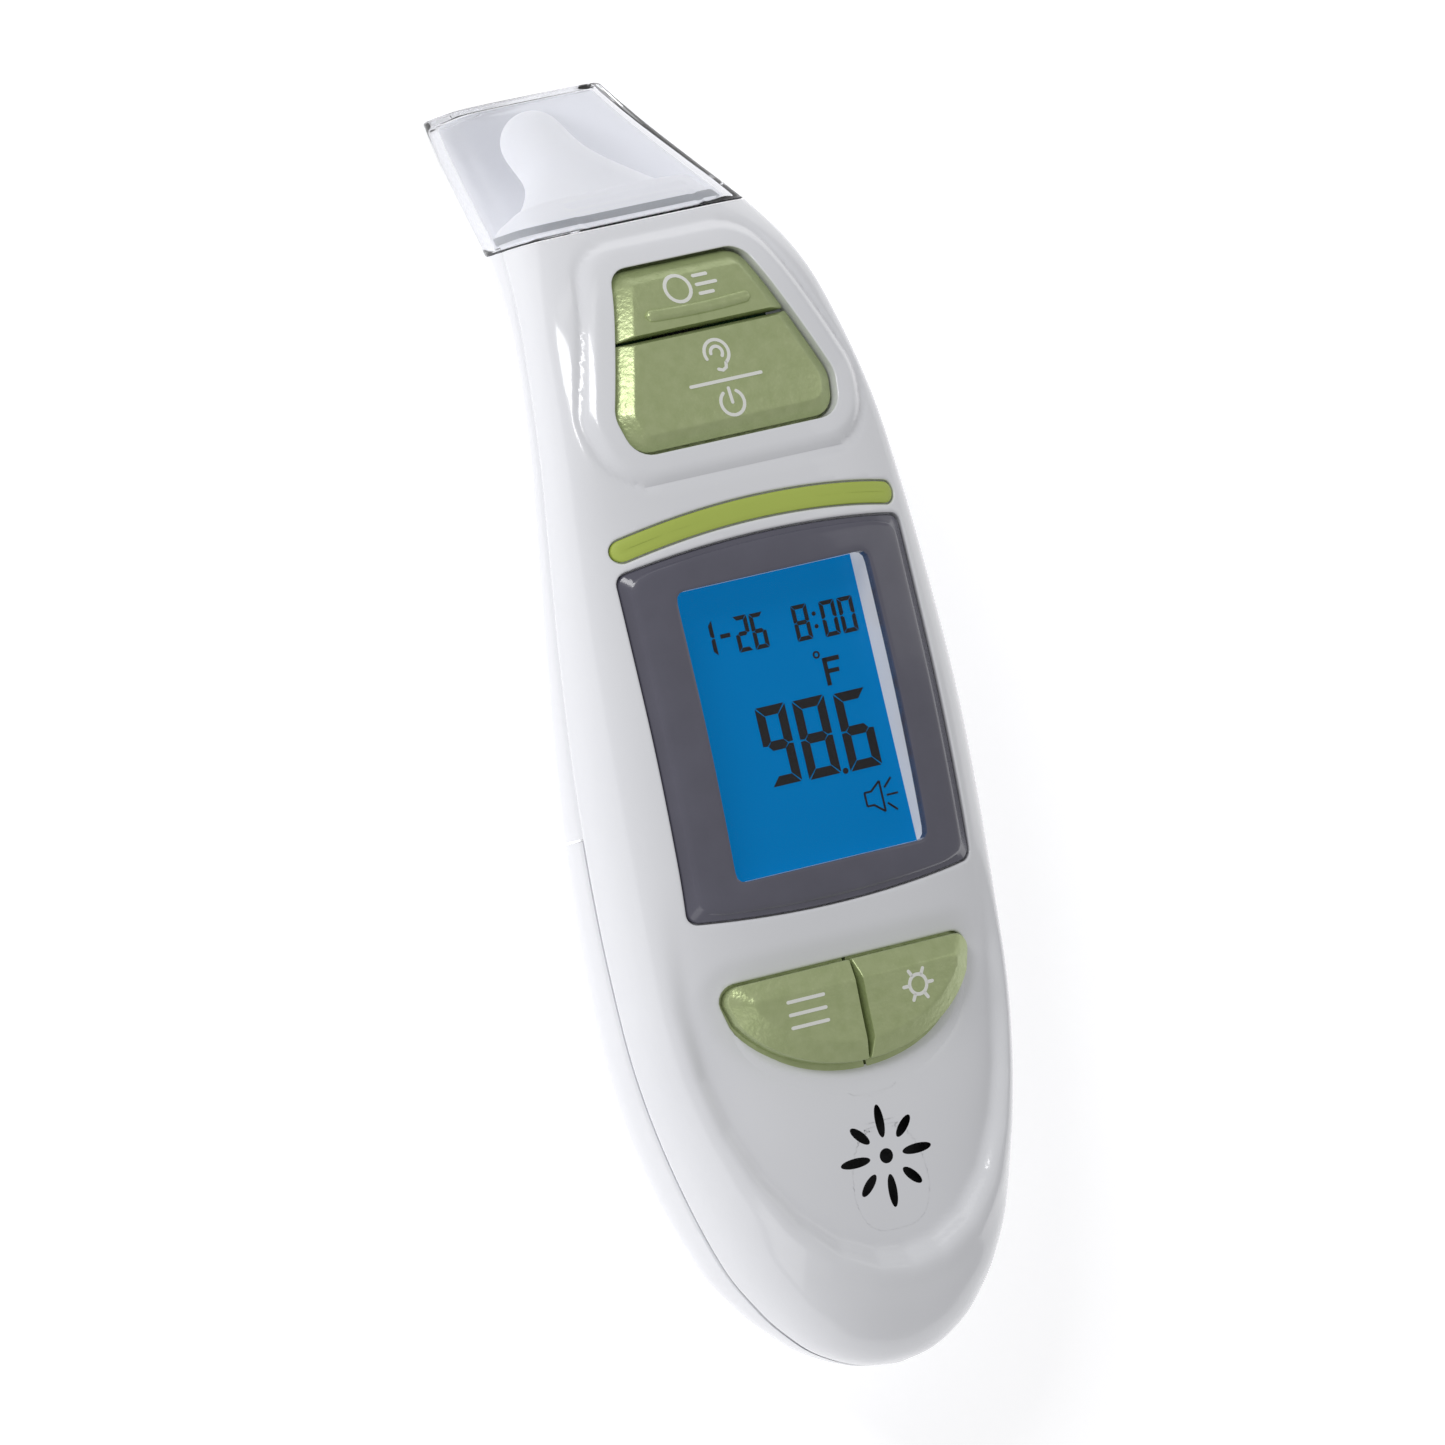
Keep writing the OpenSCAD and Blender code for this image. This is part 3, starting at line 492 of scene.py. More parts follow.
def edge_counts(corners, step=0.6):
    n = len(corners)
    lengths = [math.dist(corners[i][:2], corners[(i + 1) % n][:2]) for i in range(n)]
    return [max(0, int(length / step) - 1) for length in lengths]


def smoothstep(t):
    t = np.clip(t, 0, 1)
    return t * t * (3 - 2 * t)


def distance(points, x, y):
    """Distance from each x, y to the closed outline, negative inside it."""
    x, y = np.asarray(x, float), np.asarray(y, float)
    best = np.full(x.shape, 1e9)
    inside = np.zeros(x.shape, bool)
    for a, b in zip(points, np.roll(points, -1, axis=0)):
        d = b - a
        t = np.clip(((x - a[0]) * d[0] + (y - a[1]) * d[1]) / max(d @ d, 1e-12), 0, 1)
        best = np.minimum(best, np.hypot(x - a[0] - t * d[0], y - a[1] - t * d[1]))
        if a[1] != b[1]:
            crossing = (a[1] > y) != (b[1] > y)
            inside ^= crossing & (x < d[0] * (y - a[1]) / (b[1] - a[1]) + a[0])
    return np.where(inside, -best, best)


# %% The outlines of this thermometer, in mm on the front
KEY_GAP, KEY_SPLIT = 0.35, 46.2
KEYS_TOP = [(8.6, 54.8, 2.8), (-8.6, 54.8, 2.8)]
KEYS_LOW = [(-14.6, 38.0, 4.0), (-13.5, 32.95, 3.8), (13.5, 32.95, 3.8), (14.6, 38.0, 4.0)]
split_x = 8.6 + (14.6 - 8.6) * (54.8 - KEY_SPLIT) / (54.8 - 38.0)
UPPER_KEYS = [*KEYS_TOP, *KEYS_LOW]
HEAD_KEY = [*KEYS_TOP, (-split_x, KEY_SPLIT, 0.4), (split_x, KEY_SPLIT, 0.4)]
EAR_KEY = [(split_x, KEY_SPLIT, 0.4), (-split_x, KEY_SPLIT, 0.4), *KEYS_LOW]
PAIR_Y, PAIR_HALF, PAIR_DROP = -28.1, 17.2, 13.0


def pair_curve(first, last, steps):
    return [(PAIR_HALF * math.cos(math.radians(a)), PAIR_Y + 0.6 + PAIR_DROP * math.sin(math.radians(a)), 0)
            for a in np.linspace(first, last, steps)]


PAIR = [(PAIR_HALF - 0.1, PAIR_Y, 3.4), (-PAIR_HALF + 0.1, PAIR_Y, 3.4), *pair_curve(205, 335, 34)]
MEM_KEY = [(0, PAIR_Y, 0.4), (-PAIR_HALF + 0.1, PAIR_Y, 3.4), *pair_curve(205, 266, 18),
           (0, PAIR_Y + 0.6 - PAIR_DROP, 0.4)]
SET_KEY = [(-x, y, r) for x, y, r in MEM_KEY[::-1]]
LENS_HALF, LENS_TALL, LENS_ARCH = 18.8, 20.3, 1.4


def arch(top, half, tall, steps=14):
    xs = np.linspace(half, -half, steps + 2)[1:-1]
    rise = LENS_ARCH * (1 - (xs / half) ** 2)
    return [(top * x, top * (tall + r), 0) for x, r in zip(xs, rise)]


def lens_outline(half, tall, radius):
    return [(half, tall, radius), *arch(1, half, tall), (-half, tall, radius),
            (-half, -tall, radius), *arch(-1, half, tall), (half, -tall, radius)]


DISH = [(22.4, -10, 0), (22.2, -30, 0), (21.2, -38, 0), (19.6, -45, 0), (17.2, -51, 0), (13.6, -57, 0),
        (9.2, -61.4, 0), (4.4, -63.8, 0), (0, -64.5, 0)]
DISH = DISH + [(-x, y, r) for x, y, r in DISH[-2::-1]]
dish_line = trace(DISH[::-1], [0] * len(DISH))
upper_line = trace(UPPER_KEYS, edge_counts(UPPER_KEYS, 2.0))
pair_line = trace(PAIR, [0] * len(PAIR))
print("outlines:", len(upper_line), len(pair_line), len(dish_line), "points")


# %% [markdown]
# ## Relief of the front
# The front isn't plain. A rolled lip stands round the upper keys, with a thin groove outside it. The lower
# keys lie in a soft bowl, and the whole front dips into a shallow dish round the speaker, with a faint
# crest outside it.


# %% Relief added to the plain front
LIP_W, LIP_H, GROOVE_W, GROOVE_H = 3.1, 0.6, 0.34, 0.3
BOWL_W, BOWL_H = 3.2, 0.5
DISH_W, DISH_H = 2.6, 2.0
CREST_OUT, CREST_W, CREST_H = 0.9, 1.2, 0.35


def relief(x, y):
    x, y = np.asarray(x, float), np.asarray(y, float)
    out = np.zeros(np.broadcast(x, y).shape)
    near = (y > 24) & (y < 60) & (np.abs(x) < 20)
    d = distance(upper_line, x[near], y[near])
    out[near] += LIP_H * smoothstep((LIP_W + 0.5 - d) / 1.6)
    out[near] -= GROOVE_H * np.exp(-((d - LIP_W - 0.6) / GROOVE_W) ** 2)
    near = (y > -50) & (y < -20)
    d = distance(pair_line, x[near], y[near])
    out[near] -= BOWL_H * smoothstep((BOWL_W - d) / BOWL_W)
    near = (y > -68) & (y < -10)
    d = -distance(dish_line, x[near], y[near])
    fade = smoothstep((-14 - y[near]) / 26)
    out[near] -= DISH_H * fade * smoothstep(d / DISH_W)
    out[near] += CREST_H * fade * np.exp(-((d + CREST_OUT) / CREST_W) ** 2)
    return out


def front(x, y):
    return bare_front(x, y) + relief(x, y)


def draped(loop, height, surface=bare_front, **wall):
    """A ring of x, y points laid on a surface, a height over it."""
    return np.column_stack([loop, surface(loop[:, 0], loop[:, 1], **wall) + height])


def level(loop, height):
    """A ring of x, y points, all at one height."""
    return np.column_stack([loop, np.full(len(loop), height)])


def band(outer, inner, profile):
    """Rings between two matched outlines. profile: share of the way inwards, height over the front."""
    return [draped(outer + (inner - outer) * share, height) for share, height in profile]


print("front at the display", round(float(bare_front(0.0, 0.0)), 2), "and in the dish",
      np.round(front(np.array([0.0]), np.array([-52.0])), 2))

# %% [markdown]
# ## Raised strokes
# Prints and small raised lines are ribbons with round ends that follow the surface they lie on.


# %% Raised strokes
def prism_faces(start, n):
    """Top, bottom and sides of a flat shape whose n upper points come before its n lower ones."""
    sides = [(start + k, start + n + k, start + n + (k + 1) % n, start + (k + 1) % n) for k in range(n)]
    return [tuple(range(start, start + n)), tuple(range(start + 2 * n - 1, start + n - 1, -1)), *sides]


def stroke_mesh(lines, width, surface, lift=0.05, sink=0.1):
    """Points and faces of ribbons with round ends along each line of x, y points."""
    points, faces = [], []

    def add(outline):
        for z_add in (lift, -sink):
            points.extend((x, y, float(surface(x, y)) + z_add) for x, y in outline)

    for line in lines:
        line = np.array(line, float)
        start = len(points)
        closed = len(line) > 2 and np.allclose(line[0], line[-1])
        if closed:
            line = line[:-1]
            flow = np.roll(line, -1, axis=0) - np.roll(line, 1, axis=0)
        else:
            flow = np.gradient(line, axis=0)
        flow /= np.linalg.norm(flow, axis=1)[:, None]
        across = np.stack([-flow[:, 1], flow[:, 0]], 1) * width / 2
        if closed:
            add(np.stack([line + across, line - across], 1).reshape(-1, 2))
            m = len(line)
            for i in range(m):
                a, b = start + 2 * i, start + 2 * ((i + 1) % m)
                c, d = a + 2 * m, b + 2 * m
                faces += [(a, a + 1, b + 1, b), (c, d, d + 1, c + 1)]
                faces += [(a, b, d, c), (a + 1, c + 1, d + 1, b + 1)]
            continue

        def cap(i, first):
            return [line[i] + (flow[i] * math.cos(a) * width / 2 + across[i] * math.sin(a))
                    for a in np.radians(np.linspace(first, first + 180, 7)[1:-1])]

        outline = [*(line - across), *cap(-1, -90), *(line + across)[::-1], *cap(0, 90)]
        add(outline)
        faces += prism_faces(start, len(outline))
    return points, faces


def circle_line(x, y, radius, first=0, last=360, steps=25):
    return [(x + radius * math.cos(math.radians(a)), y + radius * math.sin(math.radians(a)))
            for a in np.linspace(first, last, steps)]


def dense_line(a, b, steps=8):
    return [(a[0] + (b[0] - a[0]) * t, a[1] + (b[1] - a[1]) * t) for t in np.linspace(0, 1, steps)]


# %% [markdown]
# ## The two covers and the battery door
# Each cover is a thin shell: an outer skin and an inner skin with the same grid, joined along the seam and
# at the ends. Points are spread evenly round each section, so the tight shoulders get as many as the flat
# front. At the seam the outer skin steps in a little, which shows as the fine line between the halves.

# %% One half of the body as a thin shell
SEAM_DEEP, SEAM_WIDE = 0.16, 0.4


def half_section(rows, part, count, dense=400):
    """Evenly spread points of the front (part 1) or back (part -1) half of each section, right to left."""
    angle = np.radians(np.linspace(0, 180, dense))
    c, s = np.cos(angle), np.sin(angle)
    out = []
    for r in rows:
        n, h = (r[5], r[3] - r[2]) if part > 0 else (r[6], r[2] - r[4])
        x = np.sign(c) * r[1] * np.abs(c) ** (2 / n)
        z = r[2] + part * h * np.abs(s) ** (2 / n)
        run = np.concatenate([[0], np.cumsum(np.hypot(np.diff(x), np.diff(z)))])
        even = np.linspace(0, run[-1], count)
        out.append(np.stack([np.interp(even, run, x), np.full(count, r[0]), np.interp(even, run, z)], 1))
    return np.array(out)


def rows_between(low, high, step):
    """Places along the body: close together at the round lower end, then even."""
    if low > END_Y + 3:
        return np.linspace(low, high, int((high - low) / step) + 1)
    round_end = END_Y + np.linspace(0.15, 2.8, 26) ** 2
    return np.concatenate([round_end, np.linspace(round_end[-1] + step, high,
                                                  int((high - round_end[-1]) / step))])


def shell_half(name, part, low, high, wall, step, count, smooth=35.0, top_gap=0.0, outer_relief=None):
    ys = rows_between(low, high, step)
    outer = half_section(section(ys), part, count)
    inner_ys = ys
    if low < END_Y + 3:
        inner_ys = END_Y + wall + (ys - ys[0]) * (high - END_Y - wall) / (high - ys[0])
    inner = half_section(inner_section(inner_ys, wall), part, count)
    inner[..., 1] = inner_ys[:, None]
    if outer_relief:
        lifted = np.abs(outer[..., 2] - section(ys)[:, None, 2]) > 1.5
        outer[..., 2] += np.where(lifted, outer_relief(outer[..., 0], outer[..., 1]), 0)
    rim = section(ys)[:, None, 2]
    from_seam = np.abs(outer[..., 2] - rim)
    outer[..., 0] -= np.sign(outer[..., 0]) * SEAM_DEEP * np.clip(1 - from_seam / SEAM_WIDE, 0, 1)
    if top_gap:
        outer[:, [0, -1], 2] -= top_gap
        inner[:, [0, -1], 2] -= top_gap
    m, n = len(ys), count
    points = np.concatenate([outer.reshape(-1, 3), inner.reshape(-1, 3)])
    faces = []

    def at(skin, j, k):
        return skin * m * n + j * n + k

    for j in range(m - 1):
        for k in range(n - 1):
            faces.append((at(0, j, k), at(0, j, k + 1), at(0, j + 1, k + 1), at(0, j + 1, k)))
            faces.append((at(1, j, k), at(1, j + 1, k), at(1, j + 1, k + 1), at(1, j, k + 1)))
        for k in (0, n - 1):
            faces.append((at(0, j, k), at(0, j + 1, k), at(1, j + 1, k), at(1, j, k)))
    for j in (0, m - 1):
        for k in range(n - 1):
            faces.append((at(0, j, k), at(0, j, k + 1), at(1, j, k + 1), at(1, j, k)))
    return build(name, points, faces, smooth)


# %% Cutters with a rounded mouth
MOUTH_END, MOUTH_REACH, CUT_FAR = math.radians(72), 1.2, 14.0


def mouth(name, loop, radius, bottom, core=None):
    """A cutter that follows the front and opens like a bell, which leaves a round lip on the opening.
    bottom is a height under the surface, or None to cut right through. The bottom is filled towards
    core, one point or one for each point of the loop."""
    flow = np.roll(loop, -1, axis=0) - np.roll(loop, 1, axis=0)
    outward = np.stack([flow[:, 1], -flow[:, 0]], 1) / np.linalg.norm(flow, axis=1)[:, None]
    rings = []

    if bottom is None:
        rings.append(level(loop, -CUT_FAR))
    else:
        middle = loop.mean(axis=0) if core is None else core
        for f in (0.02, 0.25, 0.5, 0.75, 0.93):
            rings.append(draped(middle + (loop - middle) * f, -bottom, front))
        rings.append(draped(loop, -bottom, front))
    for a, reach in [(a, 0) for a in np.linspace(0, MOUTH_END, 6)] + [(MOUTH_END, MOUTH_REACH)]:
        out = radius * (1 - math.cos(a)) + reach * math.sin(a)
        rings.append(draped(loop + outward * out, -radius * (1 - math.sin(a)) + reach * math.cos(a), front))
    rings.append(rings[-1] + [0, 0, CUT_FAR])
    return loft(name, rings)


# %% [markdown]
# The speaker slots repeat round a circle, so a Geometry Nodes tree makes their cutter. One slot is a thin
# almond, drawn as a stretched ball; the tree sets one on each point of a circle, makes every other one
# longer, adds the round hole in the middle, and turns it all into real geometry.

# %% Speaker slots with Geometry Nodes
GRILLE_Y, HOLE_R, SLOT_DEEP = -51.5, 0.88, 6.0
SLOTS = {"Slots": 8, "Ring": 4.1, "Half Length": 1.5, "Half Width": 0.58, "Longer": 1.3,
         "Material": WHITE_ABS}


def tree_with(name, sizes):
    """A node tree with a geometry output and an input for each size, and the identifier of each input."""
    tree = bpy.data.node_groups.new(name, "GeometryNodeTree")
    tree.interface.new_socket("Geometry", in_out="OUTPUT", socket_type="NodeSocketGeometry")
    sockets = {}
    for label, value in sizes.items():
        kind = {int: "Int", float: "Float"}.get(type(value), "Material")
        item = tree.interface.new_socket(label, in_out="INPUT", socket_type="NodeSocket" + kind)
        item.default_value = value
        sockets[label] = item.identifier
    return tree, tree.nodes.new("NodeGroupInput"), tree.nodes.new("NodeGroupOutput"), sockets


def finish_tree(tree, geometry, ins, outs):
    """Ends a tree: its instances made real geometry, in the material it was given."""
    real = node(tree, "GeometryNodeRealizeInstances", [("Geometry", geometry)])
    coat = node(tree, "GeometryNodeSetMaterial", [("Geometry", real.outputs["Geometry"]),
                                                  ("Material", ins.outputs["Material"])])
    tree.links.new(coat.outputs["Geometry"], outs.inputs["Geometry"])


def grown(name, tree, sockets, sizes):
    """Evaluates the tree with these sizes and keeps the result as a plain mesh object."""
    seed = bpy.data.meshes.new(name + "_seed")
    host = bpy.data.objects.new(name + "_seed", seed)
    bpy.context.collection.objects.link(host)
    step = host.modifiers.new("grow", "NODES")
    step.node_group = tree
    for label, value in sizes.items():
        step[sockets[label]] = value
    mesh = bpy.data.meshes.new_from_object(host.evaluated_get(bpy.context.evaluated_depsgraph_get()))
    host.modifiers.clear()
    bpy.data.objects.remove(host)
    thing = bpy.data.objects.new(name, mesh)
    bpy.context.collection.objects.link(thing)
    return thing


slots, ins, outs, slot_ids = tree_with("speaker_slots", SLOTS)
circle = node(slots, "GeometryNodeMeshCircle", [("Vertices", ins.outputs["Slots"]),
                                                ("Radius", ins.outputs["Ring"])])
ball = node(slots, "GeometryNodeMeshUVSphere", Segments=28, Rings=20, Radius=1.0)
spin = node(slots, "GeometryNodeInputPosition")
aim_out = node(slots, "FunctionNodeAlignRotationToVector", [("Vector", spin.outputs["Position"])],
               axis="Y")
count = node(slots, "GeometryNodeInputIndex")
odd = node(slots, "ShaderNodeMath", [(0, count.outputs["Index"])], operation="MODULO")
odd.inputs[1].default_value = 2.0
longer = node(slots, "ShaderNodeMix", [("Factor", odd.outputs[0]), ("A", ins.outputs["Longer"])])
longer.inputs["B"].default_value = 1.0
length = node(slots, "ShaderNodeMath", [(0, longer.outputs["Result"]), (1, ins.outputs["Half Length"])],
              operation="MULTIPLY")
size = node(slots, "ShaderNodeCombineXYZ", [("X", ins.outputs["Half Width"]), ("Y", length.outputs[0])])
size.inputs["Z"].default_value = SLOT_DEEP
ring_of_slots = node(slots, "GeometryNodeInstanceOnPoints", [
    ("Points", circle.outputs["Mesh"]), ("Instance", ball.outputs["Mesh"]),
    ("Rotation", aim_out.outputs["Rotation"]), ("Scale", size.outputs["Vector"])])
hole = node(slots, "GeometryNodeMeshUVSphere", Segments=28, Rings=20, Radius=1.0)
hole_size = node(slots, "GeometryNodeTransform", [("Geometry", hole.outputs["Mesh"])],
                 Scale=(HOLE_R, HOLE_R, SLOT_DEEP))
both = node(slots, "GeometryNodeJoinGeometry", [("Geometry", ring_of_slots.outputs["Instances"])])
slots.links.new(hole_size.outputs["Geometry"], both.inputs["Geometry"])
finish_tree(slots, both.outputs["Geometry"], ins, outs)

slot_cutter = grown("slot_cutter", slots, slot_ids, SLOTS)


def settle(thing, move, tilt=0.0):
    """Puts an object drawn in upright mm about its own origin into the frame's metres, in its mesh."""
    thing.data.transform(Matrix.Translation(Vector(move)) @ Matrix.Rotation(tilt, 4, "X"))
    count = len(thing.data.vertices)
    flat = np.empty(count * 3)
    thing.data.vertices.foreach_get("co", flat)
    thing.data.vertices.foreach_set("co", laid(flat.reshape(-1, 3)).ravel())
    thing.data.update()
    return thing


dish_low, dish_floor, dish_high = front(np.zeros(3), GRILLE_Y + np.array([-4.0, 0.0, 4.0]))
dish_slope = math.atan2(dish_high - dish_low, 8)
settle(slot_cutter, (0, GRILLE_Y, dish_floor), dish_slope)
print("slot cutter", len(slot_cutter.data.polygons), "faces; dish slope",
      round(math.degrees(dish_slope), 1), "degrees")

# %% Front cover
STRIP_R, STRIP_Y, STRIP_HALF, STRIP_THICK = 98.0, 24.6, 18.7, 2.5


STRIP_TURN = math.asin((STRIP_HALF - STRIP_THICK / 2) / STRIP_R)


def strip_loop(grow=0.0, steps=60):
    """The accent strip's outline: an arc with round ends, anticlockwise."""
    half, low, turn = STRIP_THICK / 2 + grow, STRIP_Y - STRIP_R, math.degrees(STRIP_TURN)
    right, left = (circle_line(0, low, STRIP_R, a, a, 1)[0] for a in (90 - turn, 90 + turn))
    return np.array([*circle_line(0, low, STRIP_R - half, 90 + turn, 90 - turn, steps),
                     *circle_line(*right, half, -90 - turn, 90 - turn, 14)[1:-1],
                     *circle_line(0, low, STRIP_R + half, 90 - turn, 90 + turn, steps),
                     *circle_line(*left, half, 90 + turn, 270 + turn, 14)[1:-1]])


def strip_core(points):
    """For each point, the nearest one on the strip's middle line."""
    a = np.clip(np.arctan2(points[:, 0], points[:, 1] - STRIP_Y + STRIP_R), -STRIP_TURN, STRIP_TURN)
    return np.stack([STRIP_R * np.sin(a), STRIP_Y - STRIP_R + STRIP_R * np.cos(a)], 1)


lens_pocket = lens_outline(LENS_HALF + 0.12, LENS_TALL + 0.12, 1.7)
display_hole = [(14.4, 18.4, 1), (-14.4, 18.4, 1), (-14.4, -18.4, 1), (14.4, -18.4, 1)]
front_shell = shell_half("front_shell", 1, END_Y, NECK_Y, WALL, 0.62, 138, outer_relief=relief)
tools = [
    mouth("lens_cut", trace(lens_pocket, edge_counts(lens_pocket)), 0.35, 1.25),
    mouth("display_cut", trace(display_hole, edge_counts(display_hole, 2)), 0.2, None),
    mouth("upper_cut", trace(UPPER_KEYS, edge_counts(UPPER_KEYS)), 0.22, None),
    mouth("pair_cut", trace(PAIR, edge_counts(PAIR, 0.5)), 0.2, None),
    slot_cutter,
]
strip_line = strip_loop(0.22)
tools.append(mouth("strip_cut", strip_line, 0.3, 0.85, core=strip_core(strip_line)))
carve(front_shell, tools[:1])
carve(front_shell, tools[1:])
place_piece(front_shell, WHITE_ABS, "body", "shell", "front_cover")

# %% Rear cover and battery door
DOOR_Y = -8.0
WELL_X, WELL_Y, WELL_R, SEAT_Z, SEAT_T, SEAT_R = 16.2, 27.0, 2.4, -12.6, 1.2, 1.3
AROUND = np.radians(np.arange(0, 360, 10))


def back(x, y):
    """Height of the back surface."""
    r = section(y)
    q = np.minimum(1, np.abs(x) / np.maximum(r[..., 1], 1e-6))
    return r[..., 2] - (r[..., 2] - r[..., 4]) * (1 - q ** r[..., 6]) ** (1 / r[..., 6])


def well_ring(x, radius, height=None, over_back=0.0):
    """A circle round a screw well, level or following the back."""
    line = np.array(circle_line(x, WELL_Y, radius, 0, 350, 36))
    return draped(line, over_back, back) if height is None else level(line, height)


rear_shell = shell_half("rear_shell", -1, DOOR_Y, NECK_Y, WALL, 0.9, 120)
carve(rear_shell, [
    loft("well_cut", [well_ring(x, WELL_R, -10.0), well_ring(x, WELL_R, over_back=0.4),
                      well_ring(x, WELL_R + 0.15, over_back=0.1),
                      well_ring(x, WELL_R + 0.55, over_back=-0.3)])
    for x in (-WELL_X, WELL_X)])
place_piece(rear_shell, WHITE_ABS, "body", "shell", "rear_cover")
for label, x in (("left", -WELL_X), ("right", WELL_X)):
    well = loft("screw_well_" + label, [
        well_ring(x, SEAT_R, SEAT_Z), well_ring(x, SEAT_R, SEAT_Z + SEAT_T),
        well_ring(x, WELL_R + 0.7, SEAT_Z + SEAT_T),
        well_ring(x, WELL_R + 0.7, over_back=1.3), well_ring(x, WELL_R + 0.02, over_back=0.9),
        well_ring(x, WELL_R + 0.02, SEAT_Z)], closed=True)
    place_piece(well, WHITE_ABS, "body", "shell")
door_shell = shell_half("door_shell", -1, END_Y, DOOR_Y - 0.3, DOOR_WALL, 0.8, 120, top_gap=0.3)
place_piece(within(door_shell), WHITE_ABS, "door", "shell", "battery_door")

# %% [markdown]
# The covers meet in a lap: a thin tongue on the rear cover reaches under the door's top edge, so that no
# light comes through the joint. Behind it a tray with the battery bay's walls holds the cells.

# %% Tongue, tray and battery bay
tongue_ys = np.linspace(DOOR_Y - 3.2, DOOR_Y + 2.2, 10)
tongue_outer = half_section(inner_section(tongue_ys, WALL + 0.15), -1, 120)
tongue_inner = half_section(inner_section(tongue_ys, WALL + 1.1), -1, 120)
tongue_rings = [np.vstack([o, i[::-1]]) for o, i in zip(tongue_outer, tongue_inner)]
for ring, y in zip(tongue_rings, tongue_ys):
    ring[:, 1] = y
tongue = loft("door_tongue", tongue_rings, smooth=35)
place_piece(tongue, WHITE_ABS, "body", "shell")

TRAY_TOP, TRAY_T, BAY_WALL, BAY_HALF = -13.2, 1.8, 1.4, 11.3
BAY_LOW, BAY_TOP, BAY_DEEP = -60.1, -11.0, -22.85
tray_rings = []
for y in np.linspace(BAY_LOW - BAY_WALL, DOOR_Y + 0.5, 60):
    half = float(section(y)[1]) - WALL - 1
    tray_rings.append([(half, y, TRAY_TOP - 0.3), (half - 0.3, y, TRAY_TOP), (0.3 - half, y, TRAY_TOP),
                       (-half, y, TRAY_TOP - 0.3), (-half, y, TRAY_TOP - TRAY_T + 0.3),
                       (0.3 - half, y, TRAY_TOP - TRAY_T), (half - 0.3, y, TRAY_TOP - TRAY_T),
                       (half, y, TRAY_TOP - TRAY_T + 0.3)])
tray = loft("battery_tray", tray_rings)


def bay_ring(grow, z, radius=1.2):
    half, low, top = BAY_HALF + grow, BAY_LOW - grow, BAY_TOP + grow
    line = trace([(half, top, radius + grow), (-half, top, radius + grow), (-half, low, radius + grow),
                  (half, low, radius + grow)], [8, 16, 8, 16])
    return level(line, z)


bay = loft("bay_walls", [bay_ring(grow, z) for grow, z in (
    (BAY_WALL, TRAY_TOP - TRAY_T / 2), (BAY_WALL, BAY_DEEP + 0.3), (BAY_WALL - 0.3, BAY_DEEP),
    (0.3, BAY_DEEP), (0, BAY_DEEP + 0.3), (0, TRAY_TOP - TRAY_T / 2))], closed=True)
finger_room = loft("finger_room", [[(x, (BAY_LOW + BAY_TOP) / 2 + s * u, z) for s, z in
                                    ((9, BAY_DEEP - 1), (9, BAY_DEEP + 2), (8, BAY_DEEP + 2.5),
                                     (-8, BAY_DEEP + 2.5), (-9, BAY_DEEP + 2), (-9, BAY_DEEP - 1))]
                                   for x, u in ((-20, 1), (20, 1))])
carve(bay, [finger_room])
carve(tray, [bay], how="UNION")
place_piece(tray, WHITE_ABS, "body", "shell")

# %% [markdown]
# The door has a finger grip: five low ridges across its back, and an arrow that shows which way it slides.
# One ridge is a stretched ball, and a Geometry Nodes tree repeats it along a line.

# %% Grip ridges with Geometry Nodes
RIDGES, GRIP_LOW, GRIP_TOP, GRIP_UP = 5, -22.6, -15.0, 0.1
grip_floor, grip_roof = float(back(0.0, GRIP_LOW)), float(back(0.0, GRIP_TOP))
GRIP = {"Ridges": RIDGES, "Pitch": (GRIP_TOP - GRIP_LOW) / (RIDGES - 1), "Half Width": 7.5,
        "Half Thick": 0.55, "Drop": (grip_roof - grip_floor) / (RIDGES - 1), "Material": WHITE_ABS}
grip, ins, outs, grip_ids = tree_with("grip_ridges", GRIP)
step = node(grip, "ShaderNodeCombineXYZ", [("Y", ins.outputs["Pitch"]), ("Z", ins.outputs["Drop"])])
row = node(grip, "GeometryNodeMeshLine", [("Count", ins.outputs["Ridges"]), ("Offset", step.outputs[0])])
bead = node(grip, "GeometryNodeMeshUVSphere", Segments=40, Rings=16, Radius=1.0)
bead_size = node(grip, "ShaderNodeCombineXYZ", [("X", ins.outputs["Half Width"]),
                                                ("Y", ins.outputs["Half Thick"]),
                                                ("Z", ins.outputs["Half Thick"])])
beads = node(grip, "GeometryNodeInstanceOnPoints", [
    ("Points", row.outputs["Mesh"]), ("Instance", bead.outputs["Mesh"]), ("Scale", bead_size.outputs[0])])
finish_tree(grip, beads.outputs["Instances"], ins, outs)
ridges = grown("door_grip", grip, grip_ids, GRIP)
settle(ridges, (0, GRIP_LOW, grip_floor + GRIP_UP))
soften(ridges, 40)
place_piece(ridges, WHITE_ABS, "door", "shell")
ARROW = [dense_line((0, -25.5), (0, -31.0)), dense_line((-2.2, -28.6), (0, -31.2)),
         dense_line((2.2, -28.6), (0, -31.2))]
arrow = build("door_arrow", *stroke_mesh(ARROW, 0.5, back, -0.04, -0.15))
# The arrow's grey glows a little: painted light.
place_piece(arrow, GREY_WITH_PAINTED_LIGHT, "door", "shell")


# %% [markdown]
# ## Keys
# Each key is one moulding: a raised middle, a wide bevel down to its outer edges, a hidden flange under
# the cover and a stem over its switch. Between two keys the bevel is only a small rounding, so each edge
# gets its own inset. The top follows the front of the body.

# %% A key from its outline
KEY_TOP, KEY_EDGE, BEVEL, SPLIT_BEVEL = 0.62, -0.7, 1.9, 0.35
FLANGE_OUT, FLANGE_T = 0.9, 0.8


